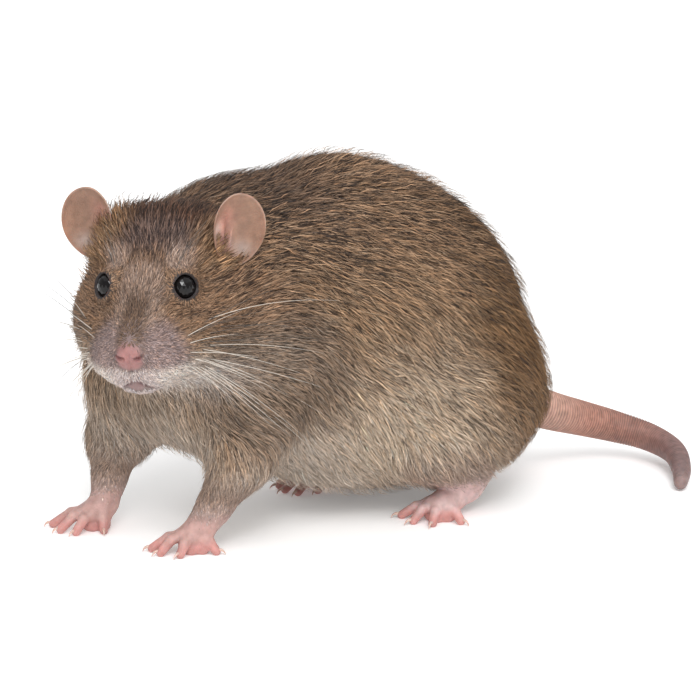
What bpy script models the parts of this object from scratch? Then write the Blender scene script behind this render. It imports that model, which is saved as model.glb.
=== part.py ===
"""A brown rat standing hunched on four feet with its head turned to its left: a still, life-size model.

Sizes are in millimetres and turned into metres at the end. The rat stands in its stance frame: x to its
left, y to its rear, z up, the floor at z = 0 and its midline at x = 0. The finished nodes are then moved
so that the origin is the middle of the bounding box's base.

The body is a set of masses, such as rump, cheek or toe, which blend into one smooth surface. Each node is
meshed from the masses near it, drawn onto that surface, and divided from its neighbours by a thin gap.
"""

import math

import bpy
import bmesh
import numpy as np
from mathutils import Matrix, Vector

MM = 0.001
GAP = 0.3  # between nodes that meet
FAR = 1000.0  # a distance that no mass of the body reaches
LEFT, RIGHT = 1, -1
SIDE_NAMES = {LEFT: "left", RIGHT: "right"}

# Head: its frame has its origin midway between the eyes, f forward, l to the rat's left, u up
HEAD_ORIGIN = (18.4, -77.4, 76.6)
HEAD_TURN = 50.0  # degrees to the rat's left
HEAD_NOD = 4.0  # degrees nose down
HEAD_ROLL = 1.2  # degrees
EYE_RADIUS = 3.7
EYE_CENTRE = (0.9, 9.9, 0.1)
EYE_AXIS = (0.77, 0.59, 0.25)
LID_THICKNESS = 0.5
LID_OPENING = (3.55, 3.35)  # half length along the slit, half height
LID_SLANT = -14.0  # degrees that the slit drops towards the nose

# Ears: the middle of each, which way its cup opens and its lean outward in degrees, in the head's frame
EAR_HALF_WIDTH = 8.2
EAR_HALF_HEIGHT = 10.2
EAR_CUP = 4.6
EAR_RIM_THICKNESS = 0.6
EAR_ROOT_THICKNESS = 1.3
EAR_SEATS = {
    LEFT: ((-13.0, 23.0, 12.3), (0.76, 0.62, 0.06), 11.0),
    RIGHT: ((-13.0, -19.1, 13.8), (0.95, -0.25, 0.06), 4.0),
}
EAR_ROOTS = {
    LEFT: ((-16.0, 11.0, 2.0), (-20.5, 17.8, 6.0)),
    RIGHT: ((-16.0, -10.0, 3.0), (-20.5, -13.6, 8.5)),
}
EAR_ROOT_RADII = (6.5, 3.7)

# Tail: points of its centre line, then the radius at each. It is short and ends blunt, as if healed.
TAIL_LINE = (
    (0.0, 56.0, 24.0),
    (0.0, 67.0, 19.5),
    (-2.0, 80.0, 15.0),
    (-1.0, 92.0, 11.0),
    (6.0, 100.5, 8.0),
    (17.5, 101.5, 5.9),
    (29.0, 96.0, 3.9),
    (37.5, 89.5, 2.4),
)
TAIL_RADII = (6.6, 6.0, 5.5, 5.0, 4.4, 3.8, 3.0, 2.1)
TAIL_NODES = 3
TAIL_RINGS = 8  # in each node
TAIL_SIDES = 14


def frame_axes(turn, nod=0.0, roll=0.0):
    """Forward, left and up unit vectors, as the columns of a matrix, after a turn to the rat's left."""
    turn, nod, roll = np.radians([turn, nod, roll])
    forward = np.array([math.sin(turn) * math.cos(nod), -math.cos(turn) * math.cos(nod), -math.sin(nod)])
    level_left = np.array([math.cos(turn), math.sin(turn), 0.0])
    level_up = np.cross(forward, level_left)
    left = level_left * math.cos(roll) + level_up * math.sin(roll)
    return np.column_stack([forward, left, np.cross(forward, left)])


HEAD_AXES = frame_axes(HEAD_TURN, HEAD_NOD, HEAD_ROLL)


def from_head(*place):
    """A place in the head's frame, as one in the stance frame."""
    return np.array(HEAD_ORIGIN) + HEAD_AXES @ np.array(place, float)


# Masses

def ellipsoid(centre, radii, axes=None):
    """A mass with three radii along its axes, which are the columns of a matrix."""
    axes = np.eye(3) if axes is None else axes
    return {"centre": np.array(centre, float), "radii": np.array(radii, float), "axes": axes}


def limb(start, end, start_radius, end_radius):
    """A tapered mass between two points, round at both ends."""
    return {
        "start": np.array(start, float),
        "end": np.array(end, float),
        "start_radius": start_radius,
        "end_radius": end_radius,
    }


def chain(points, radii):
    """Tapered masses from point to point."""
    return [limb(a, b, ra, rb) for a, b, ra, rb in zip(points, points[1:], radii, radii[1:])]


def turned(centre, radii, turn):
    """An ellipsoid turned about the vertical by some degrees."""
    a = math.radians(turn)
    axes = np.array([[math.cos(a), -math.sin(a), 0], [math.sin(a), math.cos(a), 0], [0, 0, 1]])
    return ellipsoid(centre, radii, axes)


def head_mass(centre, radii):
    """An ellipsoid in the head's frame: its radii run forward, left and up."""
    return ellipsoid(from_head(*centre), radii, HEAD_AXES)


def head_pair(centre, radii):
    f, l, u = centre
    return [head_mass((f, side * l, u), radii) for side in (LEFT, RIGHT)]


def head_limb(start, end, start_radius, end_radius):
    return limb(from_head(*start), from_head(*end), start_radius, end_radius)


TRUNK = [
    ellipsoid((0, 12, 50), (33, 40, 42.5)),
    ellipsoid((0, 36, 31), (23, 24, 22)),
    ellipsoid((0, -10, 60), (34, 43, 45)),
    ellipsoid((0, -2, 38), (36, 48, 29)),
    ellipsoid((-4, -40, 58), (25, 32, 38.5)),
    limb((-4, -43, 65), from_head(-26, 0, -5), 26.5, 16.5),
    limb((0, -54, 49), from_head(-12, 0, -17), 21, 13),
]
HAUNCHES = {
    LEFT: turned((20, 20, 36), (16, 29, 25), 8),
    RIGHT: turned((-20, 16, 35), (16, 29, 26), -8),
}
SHOULDERS = {
    LEFT: turned((17, -48, 46), (13, 18, 28), -6),
    RIGHT: turned((-16, -63, 46.5), (13, 18.5, 25.5), 6),
}

SKULL = [
    head_mass((-16, 0, -0.5), (16.5, 17.5, 15.5)),
    head_limb((-19, -7.5, 8.5), (-19, 7.5, 8.0), 9.0, 9.0),
    head_limb((-1, 0, -6.5), (17.0, 0, -12.2), 11.0, 6.0),
    head_limb((-10, 0, -17.5), (10, 0, -21.5), 12, 5.5),
    *head_pair((-13, 13.2, -12), (12.5, 11.6, 13.5)),
    *[head_limb((-12, side * 7.5, 1), (-0.5, side * 4.6, -0.4), 8.0, 4.4) for side in (LEFT, RIGHT)],
    *[head_limb(*ends, *EAR_ROOT_RADII) for ends in EAR_ROOTS.values()],
]
MUZZLE_PADS = [
    head_limb((-4, side * 9.5, -15), (12.6, side * 5.0, -16.6), 11.6, 7.0) for side in (LEFT, RIGHT)
]
LOWER_LIP = [head_mass((11.5, 0, -23.0), (5.0, 5.0, 3.4))]
NOSE = [head_mass((20.0, 0, -12.6), (3.0, 3.5, 3.0)), *head_pair((20.9, 2.1, -13.2), (2.4, 2.0, 2.1))]
LID_MOUNDS = head_pair(EYE_CENTRE, (EYE_RADIUS + GAP + LID_THICKNESS,) * 3)

# Legs: the joints of each, then its toes as root, knuckle and tip
FORE_JOINTS = {
    LEFT: ((21, -46, 42), (26.0, -52.4, 27.4), (22.6, -60.6, 12.2), (20.6, -63.0, 7.4)),
    RIGHT: ((-20, -63, 40), (-22.1, -68.3, 24.5), (-17.1, -73.6, 12.5), (-14.1, -76.4, 7.5)),
}
FORE_RADII = (12.5, 8.4, 4.1, 3.5)
FORE_TOES = {
    LEFT: (
        ((18.4, -67.0, 5.0), (16.2, -71.0, 4.2), (14.0, -75.1, 1.1)),
        ((19.9, -67.6, 5.4), (19.4, -71.6, 4.6), (18.9, -74.8, 1.1)),
        ((21.6, -66.6, 5.2), (22.6, -69.0, 4.2), (23.3, -71.0, 1.1)),
        ((22.6, -63.6, 4.6), (24.2, -62.4, 3.6), (25.4, -60.9, 1.1)),
    ),
    RIGHT: (
        ((-16.5, -80.6, 5.2), (-19.0, -84.7, 4.4), (-21.6, -89.2, 1.1)),
        ((-14.4, -81.4, 5.5), (-14.8, -85.8, 4.6), (-15.1, -89.8, 1.1)),
        ((-12.7, -80.8, 5.2), (-11.7, -84.0, 4.3), (-10.9, -86.9, 1.1)),
        ((-11.6, -77.9, 4.6), (-10.2, -78.6, 3.7), (-8.4, -79.4, 1.1)),
    ),
}
HIND_JOINTS = {
    LEFT: ((24, 20, 31), (30, 7, 24.5), (25.4, 22.0, 11.0), (24.6, 21.8, 7.6)),
    RIGHT: ((-24, 10, 31), (-30, -5, 24.5), (-25, 13.5, 11.0), (-23.8, 14.0, 7.0)),
}
HIND_RADII = (18.0, 10.0, 4.3, 3.7)
SOLE = {
    LEFT: ((24.8, 21.2, 7.4), (27.6, 11.6, 4.4)),
    RIGHT: ((-23.6, 13.4, 6.6), (-21.5, -1.0, 4.4)),
}
SOLE_RADII = (3.8, 4.3)
HIND_TOES = {
    LEFT: (
        ((24.2, 11.6, 3.6), (22.6, 10.0, 2.8), (20.8, 8.2, 1.1)),
        ((25.0, 8.8, 4.4), (22.9, 5.4, 3.7), (20.7, 1.9, 1.1)),
        ((27.0, 8.2, 4.8), (27.3, 5.0, 4.1), (27.4, 1.8, 1.1)),
        ((29.0, 9.0, 4.8), (30.8, 7.2, 4.1), (32.4, 5.2, 1.1)),
        ((30.0, 12.0, 4.3), (32.3, 12.8, 3.5), (34.6, 13.4, 1.1)),
    ),
    RIGHT: (
        ((-24.0, -2.2, 4.2), (-26.8, -5.6, 3.4), (-28.2, -9.6, 1.1)),
        ((-22.6, -4.2, 4.8), (-24.0, -9.0, 4.2), (-24.6, -13.8, 1.1)),
        ((-21.0, -4.8, 4.8), (-20.4, -9.8, 4.3), (-19.6, -14.6, 1.1)),
        ((-19.6, -3.6, 4.6), (-17.2, -8.2, 4.0), (-15.2, -12.6, 1.1)),
        ((-18.8, -0.4, 4.0), (-16.0, -3.0, 3.0), (-14.2, -6.4, 1.1)),
    ),
}
TOE_RADII = (1.75, 1.5, 1.25)
PAD_RADIUS = 1.9
PAD_HEIGHT = 1.7
CLAW_RADIUS = 0.6
FORE_CLAW_LENGTH = 1.8
HIND_CLAW_LENGTH = 2.6
CLAW_TIP_HEIGHT = 0.35

# Where the body is divided: a point of each plane and its normal
HEAD_CUT = (from_head(-18, 0, -5), HEAD_AXES @ np.array([0.9, 0.0, 0.44]))
NECK_CUT = (np.array([0.0, -27.0, 100.0]), np.array([0.45, -1.0, 0.62]))
FORE_REGIONS = {
    LEFT: limb((27, -50, 31), (21.5, -62, 9), 18, 10),
    RIGHT: limb((-26, -68, 31), (-15.5, -75.5, 9), 17, 10),
}
HIND_REGIONS = {
    LEFT: limb((33, 14, 28), (26, 21, 7), 22, 14),
    RIGHT: limb((-33, 6, 28), (-24, 10, 7), 22, 14),
}
ANKLE_HEIGHT = 10.4
ANKLE_CUT = (np.array([25.0, 20.0, ANKLE_HEIGHT]), np.array([0.0, 0.03, 1.0]))
FOOT_SPACES = {  # two corners of the box that the torso leaves free for each hind foot
    LEFT: ((15.0, -16.0, -1.0), (50.0, 34.0, 20.0)),
    RIGHT: ((-50.0, -32.0, -1.0), (-10.0, 24.0, 20.0)),
}
FLOOR = (np.zeros(3), np.array([0.0, 0.0, 1.0]))
WRIST_SHARE = 0.25  # of the way from the wrist to the elbow

# Details of the face, in the head's frame
LID_SIDES = 20
LID_PINCH = 0.25
NOSTRIL_LINE = ((20.0, 3.5, -12.4), (21.8, 3.2, -12.6), (22.7, 2.3, -13.4), (24.3, 1.7, -13.8))
NOSTRIL_RADII = (0.45, 0.65, 0.75, 0.7)
GROOVE_RADIUS = 0.45
MOUTH_LINE = (
    (6.0, -10.0, -23.6),
    (10.0, -8.0, -23.9),
    (14.0, -5.0, -23.4),
    (17.0, -2.4, -22.6),
    (18.2, 0.0, -21.8),
    (17.0, 2.4, -22.6),
    (14.0, 5.0, -23.4),
    (10.0, 8.0, -23.9),
    (6.0, 10.0, -23.6),
)
PHILTRUM_LINE = ((23.2, 0.0, -13.6), (22.2, 0.0, -15.6), (20.4, 0.0, -18.6), (18.6, 0.0, -21.2))
EAR_RINGS = 6
EAR_SIDES = 24
EAR_TAPER = 0.2
EAR_ROOT_DEPTH = 2.0
EAR_CURL = 0.8

# Triangles of the smooth surfaces before they are cut
BODY_TRIANGLES = 4400
HEAD_TRIANGLES = 4600
PAW_TRIANGLES = 1050
FOOT_TRIANGLES = 1150
WELD = 0.001
SHARP_ANGLE = math.radians(50)

# The colour and roughness of each node
BACK_FUR = ((0.141, 0.091, 0.053), 0.75)
FACE_FUR = ((0.181, 0.122, 0.084), 0.75)
LEG_FUR = ((0.205, 0.145, 0.100), 0.75)
PINK_SKIN = ((0.640, 0.360, 0.310), 0.55)
EAR_SKIN = ((0.560, 0.305, 0.225), 0.55)
TAIL_SKIN = ((0.400, 0.210, 0.170), 0.60)
TAIL_END_SKIN = ((0.300, 0.190, 0.180), 0.60)
EYE_GLOSS = ((0.008, 0.007, 0.008), 0.05)
COATS = {
    "head": FACE_FUR,
    "neck": BACK_FUR,
    "torso": BACK_FUR,
    **{kind + "_" + side: LEG_FUR for kind in ("fore_leg", "hind_leg") for side in ("left", "right")},
    **{kind + "_" + side: PINK_SKIN for kind in ("fore_paw", "hind_foot") for side in ("left", "right")},
    **{"ear_" + side: EAR_SKIN for side in ("left", "right")},
    **{"eye_" + side: EYE_GLOSS for side in ("left", "right")},
    "tail_base": TAIL_SKIN,
    "tail_middle": TAIL_SKIN,
    "tail_tip": TAIL_END_SKIN,
}


def eye_ball(side):
    return ellipsoid(from_head(EYE_CENTRE[0], side * EYE_CENTRE[1], EYE_CENTRE[2]), (EYE_RADIUS,) * 3)


def toes(rows):
    return [mass for row in rows for mass in chain(row, TOE_RADII)]


def pads(rows, heel):
    """A pad under each toe's root, drawn in towards the heel."""
    found = []
    for root, _, _ in rows:
        place = 0.75 * np.array(root) + 0.25 * np.array(heel)
        place[2] = PAD_HEIGHT
        found.append(limb(place, (root[0], root[1], PAD_HEIGHT), PAD_RADIUS, PAD_RADIUS))
    return found


def fore_leg(side):
    return chain(FORE_JOINTS[side], FORE_RADII)


def hind_leg(side):
    return chain(HIND_JOINTS[side], HIND_RADII)


def palm(side):
    """The fore paw's palm: a mass from the wrist to each toe's root, and the pads under it."""
    wrist = FORE_JOINTS[side][-1]
    spread = [limb(wrist, row[0], 3.4, 2.5) for row in FORE_TOES[side]]
    return spread + pads(FORE_TOES[side], wrist)


def sole(side):
    """The hind foot from heel to the ball, widened to each toe's root, and the pads under it."""
    heel, front = SOLE[side]
    spread = [limb(front, row[0], 3.4, 2.4) for row in HIND_TOES[side]]
    return [limb(heel, front, *SOLE_RADII)] + spread + pads(HIND_TOES[side], heel)


# The smooth surface of the masses

def distance_to(mass, points):
    """About how far each point is outside the mass, in mm and negative inside, and which way is outward."""
    if "centre" in mass:
        local = (points - mass["centre"]) @ mass["axes"]
        outward = np.linalg.norm(local / mass["radii"], axis=1)
        steep = local / mass["radii"] ** 2
        slope = np.maximum(np.linalg.norm(steep, axis=1), 1e-9)
        return outward * (outward - 1) / slope, (steep / slope[:, None]) @ mass["axes"].T
    along = mass["end"] - mass["start"]
    length = np.linalg.norm(along)
    along = along / length
    widening = (mass["end_radius"] - mass["start_radius"]) / length
    away = points - mass["start"]
    height = away @ along
    aside = np.sqrt(np.maximum((away * away).sum(axis=1) - height * height, 0))
    reach = np.clip(height + aside * widening / math.sqrt(max(1 - widening * widening, 0.01)), 0, length)
    away -= reach[:, None] * along
    from_axis = np.maximum(np.linalg.norm(away, axis=1), 1e-9)
    return from_axis - mass["start_radius"] - widening * reach, away / from_axis[:, None]


def smooth_union(one, other, blend):
    """The nearer of two distances, with the crease between them filled over about the blend's width."""
    share = np.clip(0.5 + 0.5 * (other[0] - one[0]) / blend, 0, 1)
    distance = other[0] * (1 - share) + one[0] * share - blend * share * (1 - share)
    return distance, other[1] * (1 - share)[:, None] + one[1] * share[:, None]


def reach_of(masses):
    """The box that holds these masses."""
    ends = []
    for mass in masses:
        if "centre" in mass:
            ends += [mass["centre"] - mass["radii"].max(), mass["centre"] + mass["radii"].max()]
        else:
            widest = max(mass["start_radius"], mass["end_radius"])
            ends += [mass[end] + sign * widest for end in ("start", "end") for sign in (-1, 1)]
    return np.min(ends, axis=0), np.max(ends, axis=0)


def merged(masses, points, blend):
    """The smooth union of a group of masses."""
    total = distance_to(masses[0], points)
    for mass in masses[1:]:
        total = smooth_union(total, distance_to(mass, points), blend)
    return total


# Each group of masses, the blend inside it, and the blend with the groups before it
GROUPS = [
    (TRUNK, 14.0, 1.0),
    *[([HAUNCHES[side]], 1.0, 9.0) for side in (LEFT, RIGHT)],
    *[([SHOULDERS[side]], 1.0, 9.0) for side in (LEFT, RIGHT)],
    (SKULL, 5.5, 7.0),
    (MUZZLE_PADS, 2.5, 5.5),
    (LOWER_LIP, 1.0, 1.6),
    (NOSE, 0.8, 1.4),
    (LID_MOUNDS, 0.5, 3.2),
    *[(fore_leg(side), 4.0, 6.0) for side in (LEFT, RIGHT)],
    *[(hind_leg(side), 5.0, 8.0) for side in (LEFT, RIGHT)],
    *[(palm(side), 1.2, 2.0) for side in (LEFT, RIGHT)],
    *[(sole(side), 1.2, 2.0) for side in (LEFT, RIGHT)],
    *[(toes(FORE_TOES[side]), 0.5, 0.9) for side in (LEFT, RIGHT)],
    *[(toes(HIND_TOES[side]), 0.5, 0.9) for side in (LEFT, RIGHT)],
]


def body_distance(points):
    """About how far each point is outside the whole body, in mm, and which way is outward."""
    distance = np.full(len(points), FAR)
    outward = np.zeros((len(points), 3))
    for masses, inner_blend, outer_blend in GROUPS:
        low, high = reach_of(masses)
        margin = 2 * outer_blend + 3
        near = np.all((points > low - margin) & (points < high + margin), axis=1)
        if near.any():
            group = merged(masses, points[near], inner_blend)
            distance[near], outward[near] = smooth_union(
                (distance[near], outward[near]), group, outer_blend
            )
    return distance, outward


def drawn_onto_body(points, level=0.0, rounds=6):
    """Points moved inward or outward until they lie at that level above the surface."""
    points = points.copy()
    for _ in range(rounds):
        distance, outward = body_distance(points)
        points -= outward * np.clip(distance - level, -2.5, 2.5)[:, None]
    return points


# Meshes

def link(name, mesh):
    obj = bpy.data.objects.new(name, mesh)
    bpy.context.scene.collection.objects.link(obj)
    return obj


def made(name, corners, faces):
    """A mesh object of these corners and faces."""
    mesh = bpy.data.meshes.new(name)
    mesh.from_pydata([tuple(corner) for corner in corners], [], [tuple(face) for face in faces])
    return link(name, mesh)


def remove(obj):
    bpy.data.objects.remove(obj, do_unlink=True)


def applied(obj):
    """The object with its modifiers worked into its mesh."""
    graph = bpy.context.evaluated_depsgraph_get()
    mesh = bpy.data.meshes.new_from_object(obj.evaluated_get(graph), depsgraph=graph)
    obj.modifiers.clear()
    obj.data = mesh
    return obj


def read_points(mesh):
    found = np.empty(len(mesh.vertices) * 3)
    mesh.vertices.foreach_get("co", found)
    return found.reshape(-1, 3)


def write_points(mesh, points):
    mesh.vertices.foreach_set("co", points.astype(np.float32).ravel())
    mesh.update()


def unit_ball(subdivisions):
    """The corners and triangles of a ball of radius 1."""
    mesh = bmesh.new()
    bmesh.ops.create_icosphere(mesh, subdivisions=subdivisions, radius=1.0)
    corners = np.array([vertex.co[:] for vertex in mesh.verts])
    faces = np.array([[vertex.index for vertex in face.verts] for face in mesh.faces])
    mesh.free()
    return corners, faces


def hull(points):
    """The corners and triangles of the convex hull of some points."""
    mesh = bmesh.new()
    for point in points:
        mesh.verts.new(point)
    bmesh.ops.convex_hull(mesh, input=mesh.verts)
    bmesh.ops.delete(mesh, geom=[v for v in mesh.verts if not v.link_faces], context="VERTS")
    mesh.verts.index_update()
    corners = np.array([vertex.co[:] for vertex in mesh.verts])
    faces = np.array([[vertex.index for vertex in face.verts] for face in mesh.faces])
    mesh.free()
    return corners, faces


def shape_of(mass, swell=0.0, subdivisions=3):
    """The corners and triangles of one mass, made bigger or smaller by some millimetres."""
    corners, faces = unit_ball(subdivisions)
    if "centre" in mass:
        return mass["centre"] + (corners * (mass["radii"] + swell)) @ mass["axes"].T, faces
    start = mass["start"] + corners * (mass["start_radius"] + swell)
    end = mass["end"] + corners * (mass["end_radius"] + swell)
    return hull(np.vstack([start, end]))


def solid(name, mass, swell=0.0, subdivisions=3):
    return made(name, *shape_of(mass, swell, subdivisions))


def rough_solid(name, masses):
    """Overlapping solids of the masses, in one mesh."""
    corners, faces, count = [], [], 0
    for mass in masses:
        found = shape_of(mass, 0.2, 2)
        corners.append(found[0])
        faces.append(found[1] + count)
        count += len(found[0])
    return made(name, np.vstack(corners), np.vstack(faces))


def remeshed(obj, voxel):
    modifier = obj.modifiers.new("remesh", "REMESH")
    modifier.mode = "VOXEL"
    modifier.voxel_size = voxel
    return applied(obj)


def flesh(name, masses, voxel, level=0.0):
    """A closed mesh of these masses, in mm, drawn onto the body's smooth surface."""
    obj = remeshed(rough_solid(name, masses), voxel)
    write_points(obj.data, drawn_onto_body(read_points(obj.data), level))
    obj = remeshed(obj, voxel)
    write_points(obj.data, drawn_onto_body(read_points(obj.data), level, rounds=2))
    return obj


def combined(obj, cutter, operation, solver="EXACT"):
    """The object after a Boolean with the cutter, which is used up."""
    modifier = obj.modifiers.new(operation.lower(), "BOOLEAN")
    modifier.object = cutter
    modifier.operation = operation
    modifier.solver = solver
    applied(obj)
    remove(cutter)
    return obj


def copied(obj, name):
    twin = obj.copy()
    twin.data = obj.data.copy()
    twin.name = name
    bpy.context.scene.collection.objects.link(twin)
    return twin


def triangles_in(obj):
    return sum(len(face.vertices) - 2 for face in obj.data.polygons)


def simplified(obj, triangles):
    """The mesh with about this many triangles."""
    modifier = obj.modifiers.new("decimate", "DECIMATE")
    modifier.ratio = min(1.0, triangles / triangles_in(obj))
    return applied(obj)


def largest_piece(obj):
    """The object with only its largest closed surface."""
    mesh = bmesh.new()
    mesh.from_mesh(obj.data)
    left = set(mesh.verts)
    pieces = []
    while left:
        queue = [left.pop()]
        piece = list(queue)
        while queue:
            for edge in queue.pop().link_edges:
                for vertex in edge.verts:
                    if vertex in left:
                        left.discard(vertex)
                        queue.append(vertex)
                        piece.append(vertex)
        pieces.append(piece)
    pieces.sort(key=len)
    bmesh.ops.delete(mesh, geom=[v for piece in pieces[:-1] for v in piece], context="VERTS")
    mesh.to_mesh(obj.data)
    mesh.free()
    return obj


def half_space(point, normal, size=260.0):
    """A big box on the side of a plane that the normal points to."""
    away = Vector(normal).normalized()
    facing = away.to_track_quat("Z", "Y").to_matrix().to_4x4()
    mesh = bmesh.new()
    bmesh.ops.create_cube(mesh, size=size)
    mesh.transform(Matrix.Translation(Vector(point) + away * size / 2) @ facing)
    data = bpy.data.meshes.new("half_space")
    mesh.to_mesh(data)
    mesh.free()
    return link("half_space", data)


def box(name, low, high):
    size = np.array(high) - low
    steps = [(i, j, k) for i in (0, 1) for j in (0, 1) for k in (0, 1)]
    return made(name, *hull([np.array(low) + size * step for step in steps]))


def beyond(obj, cut, back_off=GAP / 2):
    """What lies past a plane, less a margin."""
    point, normal = cut
    away = normal / np.linalg.norm(normal)
    return combined(obj, half_space(point + away * back_off, away), "INTERSECT")


def before(obj, cut, back_off=GAP / 2):
    """What lies on the near side of a plane, less a margin."""
    point, normal = cut
    return beyond(obj, (point, -normal), back_off)


# Nodes

def body_parts():
    """The torso, neck and legs, divided from one mesh, as a list of objects."""
    masses = TRUNK + list(HAUNCHES.values()) + list(SHOULDERS.values()) + SKULL
    masses += [mass for side in (LEFT, RIGHT) for mass in fore_leg(side) + hind_leg(side)]
    body = largest_piece(simplified(flesh("body", masses, 1.3), BODY_TRIANGLES))
    neck = copied(body, "neck")
    largest_piece(before(beyond(neck, NECK_CUT), HEAD_CUT))
    before(before(body, NECK_CUT), HEAD_CUT)
    nodes = [neck, body]
    for side in (LEFT, RIGHT):
        upper_leg = copied(body, "fore_leg_" + SIDE_NAMES[side])
        combined(upper_leg, solid("region", FORE_REGIONS[side], -GAP / 2), "INTERSECT")
        nodes.append(largest_piece(before(upper_leg, wrist_cut(side))))
        thigh = copied(body, "hind_leg_" + SIDE_NAMES[side])
        combined(thigh, solid("region", HIND_REGIONS[side], -GAP / 2), "INTERSECT")
        nodes.append(largest_piece(beyond(thigh, ANKLE_CUT)))
    for region in (*FORE_REGIONS.values(), *HIND_REGIONS.values()):
        combined(body, solid("region", region, GAP / 2), "DIFFERENCE")
    for low, high in FOOT_SPACES.values():
        combined(body, before(box("foot_space", low, high), ANKLE_CUT, -GAP / 2), "DIFFERENCE")
    body.name = "torso"
    largest_piece(body)
    return nodes


def wrist_cut(side):
    """The plane between a fore leg and its paw, facing the paw."""
    elbow, wrist = FORE_JOINTS[side][-2:]
    return np.array(wrist) + WRIST_SHARE * (np.array(elbow) - wrist), np.array(wrist) - np.array(elbow)


def claws(rows, length):
    """A hooked point from the end of each toe, as the line and radii of a tube."""
    found = []
    for _, knuckle, tip in rows:
        ahead = np.array(tip) - knuckle
        ahead[2] = 0
        ahead /= np.linalg.norm(ahead)
        start = np.array(tip) + ahead * (TOE_RADII[2] - 0.7)
        line = [start + ahead * share * (length + 0.7) for share in (0, 0.55, 1.0)]
        for place, height in zip(line, (0.35, 0.3, CLAW_TIP_HEIGHT - tip[2])):
            place[2] = tip[2] + height
        found.append((line, [CLAW_RADIUS * size for size in (0.9, 0.85, 0.25)]))
    return found


def foot(name, rows, masses, cut, triangles, claw_length):
    """A paw: its palm and toes with their claws, resting on flats at the floor."""
    paw = largest_piece(beyond(simplified(flesh(name, masses, 0.42), triangles), cut))
    for line, radii in claws(rows, claw_length):
        combined(paw, tube("claw", line, radii, 6), "UNION")
    return largest_piece(beyond(paw, FLOOR, 0.0))


def feet():
    found = []
    for side in (LEFT, RIGHT):
        masses = fore_leg(side)[1:] + palm(side) + toes(FORE_TOES[side])
        name = "fore_paw_" + SIDE_NAMES[side]
        found.append(foot(name, FORE_TOES[side], masses, wrist_cut(side), PAW_TRIANGLES, FORE_CLAW_LENGTH))
        masses = hind_leg(side)[1:] + sole(side) + toes(HIND_TOES[side])
        name = "hind_foot_" + SIDE_NAMES[side]
        below = (ANKLE_CUT[0], -ANKLE_CUT[1])
        found.append(foot(name, HIND_TOES[side], masses, below, FOOT_TRIANGLES, HIND_CLAW_LENGTH))
    return found


def prism(name, outline, start, end, x_axis, y_axis):
    """A closed prism: an outline of (x, y) pairs swept from one point to another."""
    rim = [np.array(x_axis) * x + np.array(y_axis) * y for x, y in outline]
    count = len(rim)
    corners = [start + place for place in rim] + [end + place for place in rim]
    faces = [tuple(reversed(range(count))), tuple(range(count, 2 * count))]
    faces += [(i, (i + 1) % count, count + (i + 1) % count, count + i) for i in range(count)]
    return made(name, corners, faces)


def tube(name, line, radii, sides):
    """A closed round tube along a line of points."""
    line = np.array(line, float)
    ahead = np.gradient(line, axis=0)
    ahead /= np.linalg.norm(ahead, axis=1)[:, None]
    side = np.cross(ahead, (0.0, 0.0, 1.0))
    side /= np.linalg.norm(side, axis=1)[:, None]
    upward = np.cross(side, ahead)
    angles = np.arange(sides) * 2 * math.pi / sides
    corners = [
        place + radius * (math.cos(a) * s + math.sin(a) * u)
        for place, radius, s, u in zip(line, radii, side, upward)
        for a in angles
    ]
    rings = len(line)
    faces = [tuple(range(sides)), tuple(reversed(range((rings - 1) * sides, rings * sides)))]
    for ring in range(rings - 1):
        for i in range(sides):
            a, b = ring * sides + i, ring * sides + (i + 1) % sides
            faces.append((a, a + sides, b + sides, b))
    return made(name, corners, faces)


def lid_opening(side):
    """A cutter along the eye's axis, shaped as the almond between the lids."""
    centre = from_head(EYE_CENTRE[0], side * EYE_CENTRE[1], EYE_CENTRE[2])
    axis = HEAD_AXES @ (np.array(EYE_AXIS) * (1, side, 1))
    axis /= np.linalg.norm(axis)
    level = np.cross(HEAD_AXES[:, 2], axis)
    level /= np.linalg.norm(level)
    upward = np.cross(axis, level)
    slant = math.radians(LID_SLANT) * side
    x_axis = level * math.cos(slant) + upward * math.sin(slant)
    y_axis = np.cross(axis, x_axis)
    outline = []
    for a in np.arange(LID_SIDES) * 2 * math.pi / LID_SIDES:
        pinch = 1 - LID_PINCH * abs(math.cos(a)) ** 3
        outline.append((LID_OPENING[0] * math.cos(a), LID_OPENING[1] * math.sin(a) * pinch))
    return prism("lid_opening", outline, centre, centre + axis * 9, x_axis, y_axis)


def head():
    """The head to the back of the ears, with eye sockets, lids, nostrils and the line of the mouth."""
    masses = SKULL + MUZZLE_PADS + LOWER_LIP + NOSE + LID_MOUNDS + TRUNK[-2:]
    skull = largest_piece(beyond(simplified(flesh("head", masses, 0.7), HEAD_TRIANGLES), HEAD_CUT))
    for side in (LEFT, RIGHT):
        combined(skull, solid("socket", eye_ball(side), GAP), "DIFFERENCE")
        combined(skull, lid_opening(side), "DIFFERENCE")
        nostril = [from_head(f, side * l, u) for f, l, u in NOSTRIL_LINE]
        combined(skull, tube("nostril", nostril, NOSTRIL_RADII, 8), "DIFFERENCE")
    for line in (MOUTH_LINE, PHILTRUM_LINE):
        places = np.array([from_head(*place) for place in line])
        groove = tube("groove", drawn_onto_body(places), (GROOVE_RADIUS,) * len(line), 8)
        combined(skull, groove, "DIFFERENCE")
    return largest_piece(skull)


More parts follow.
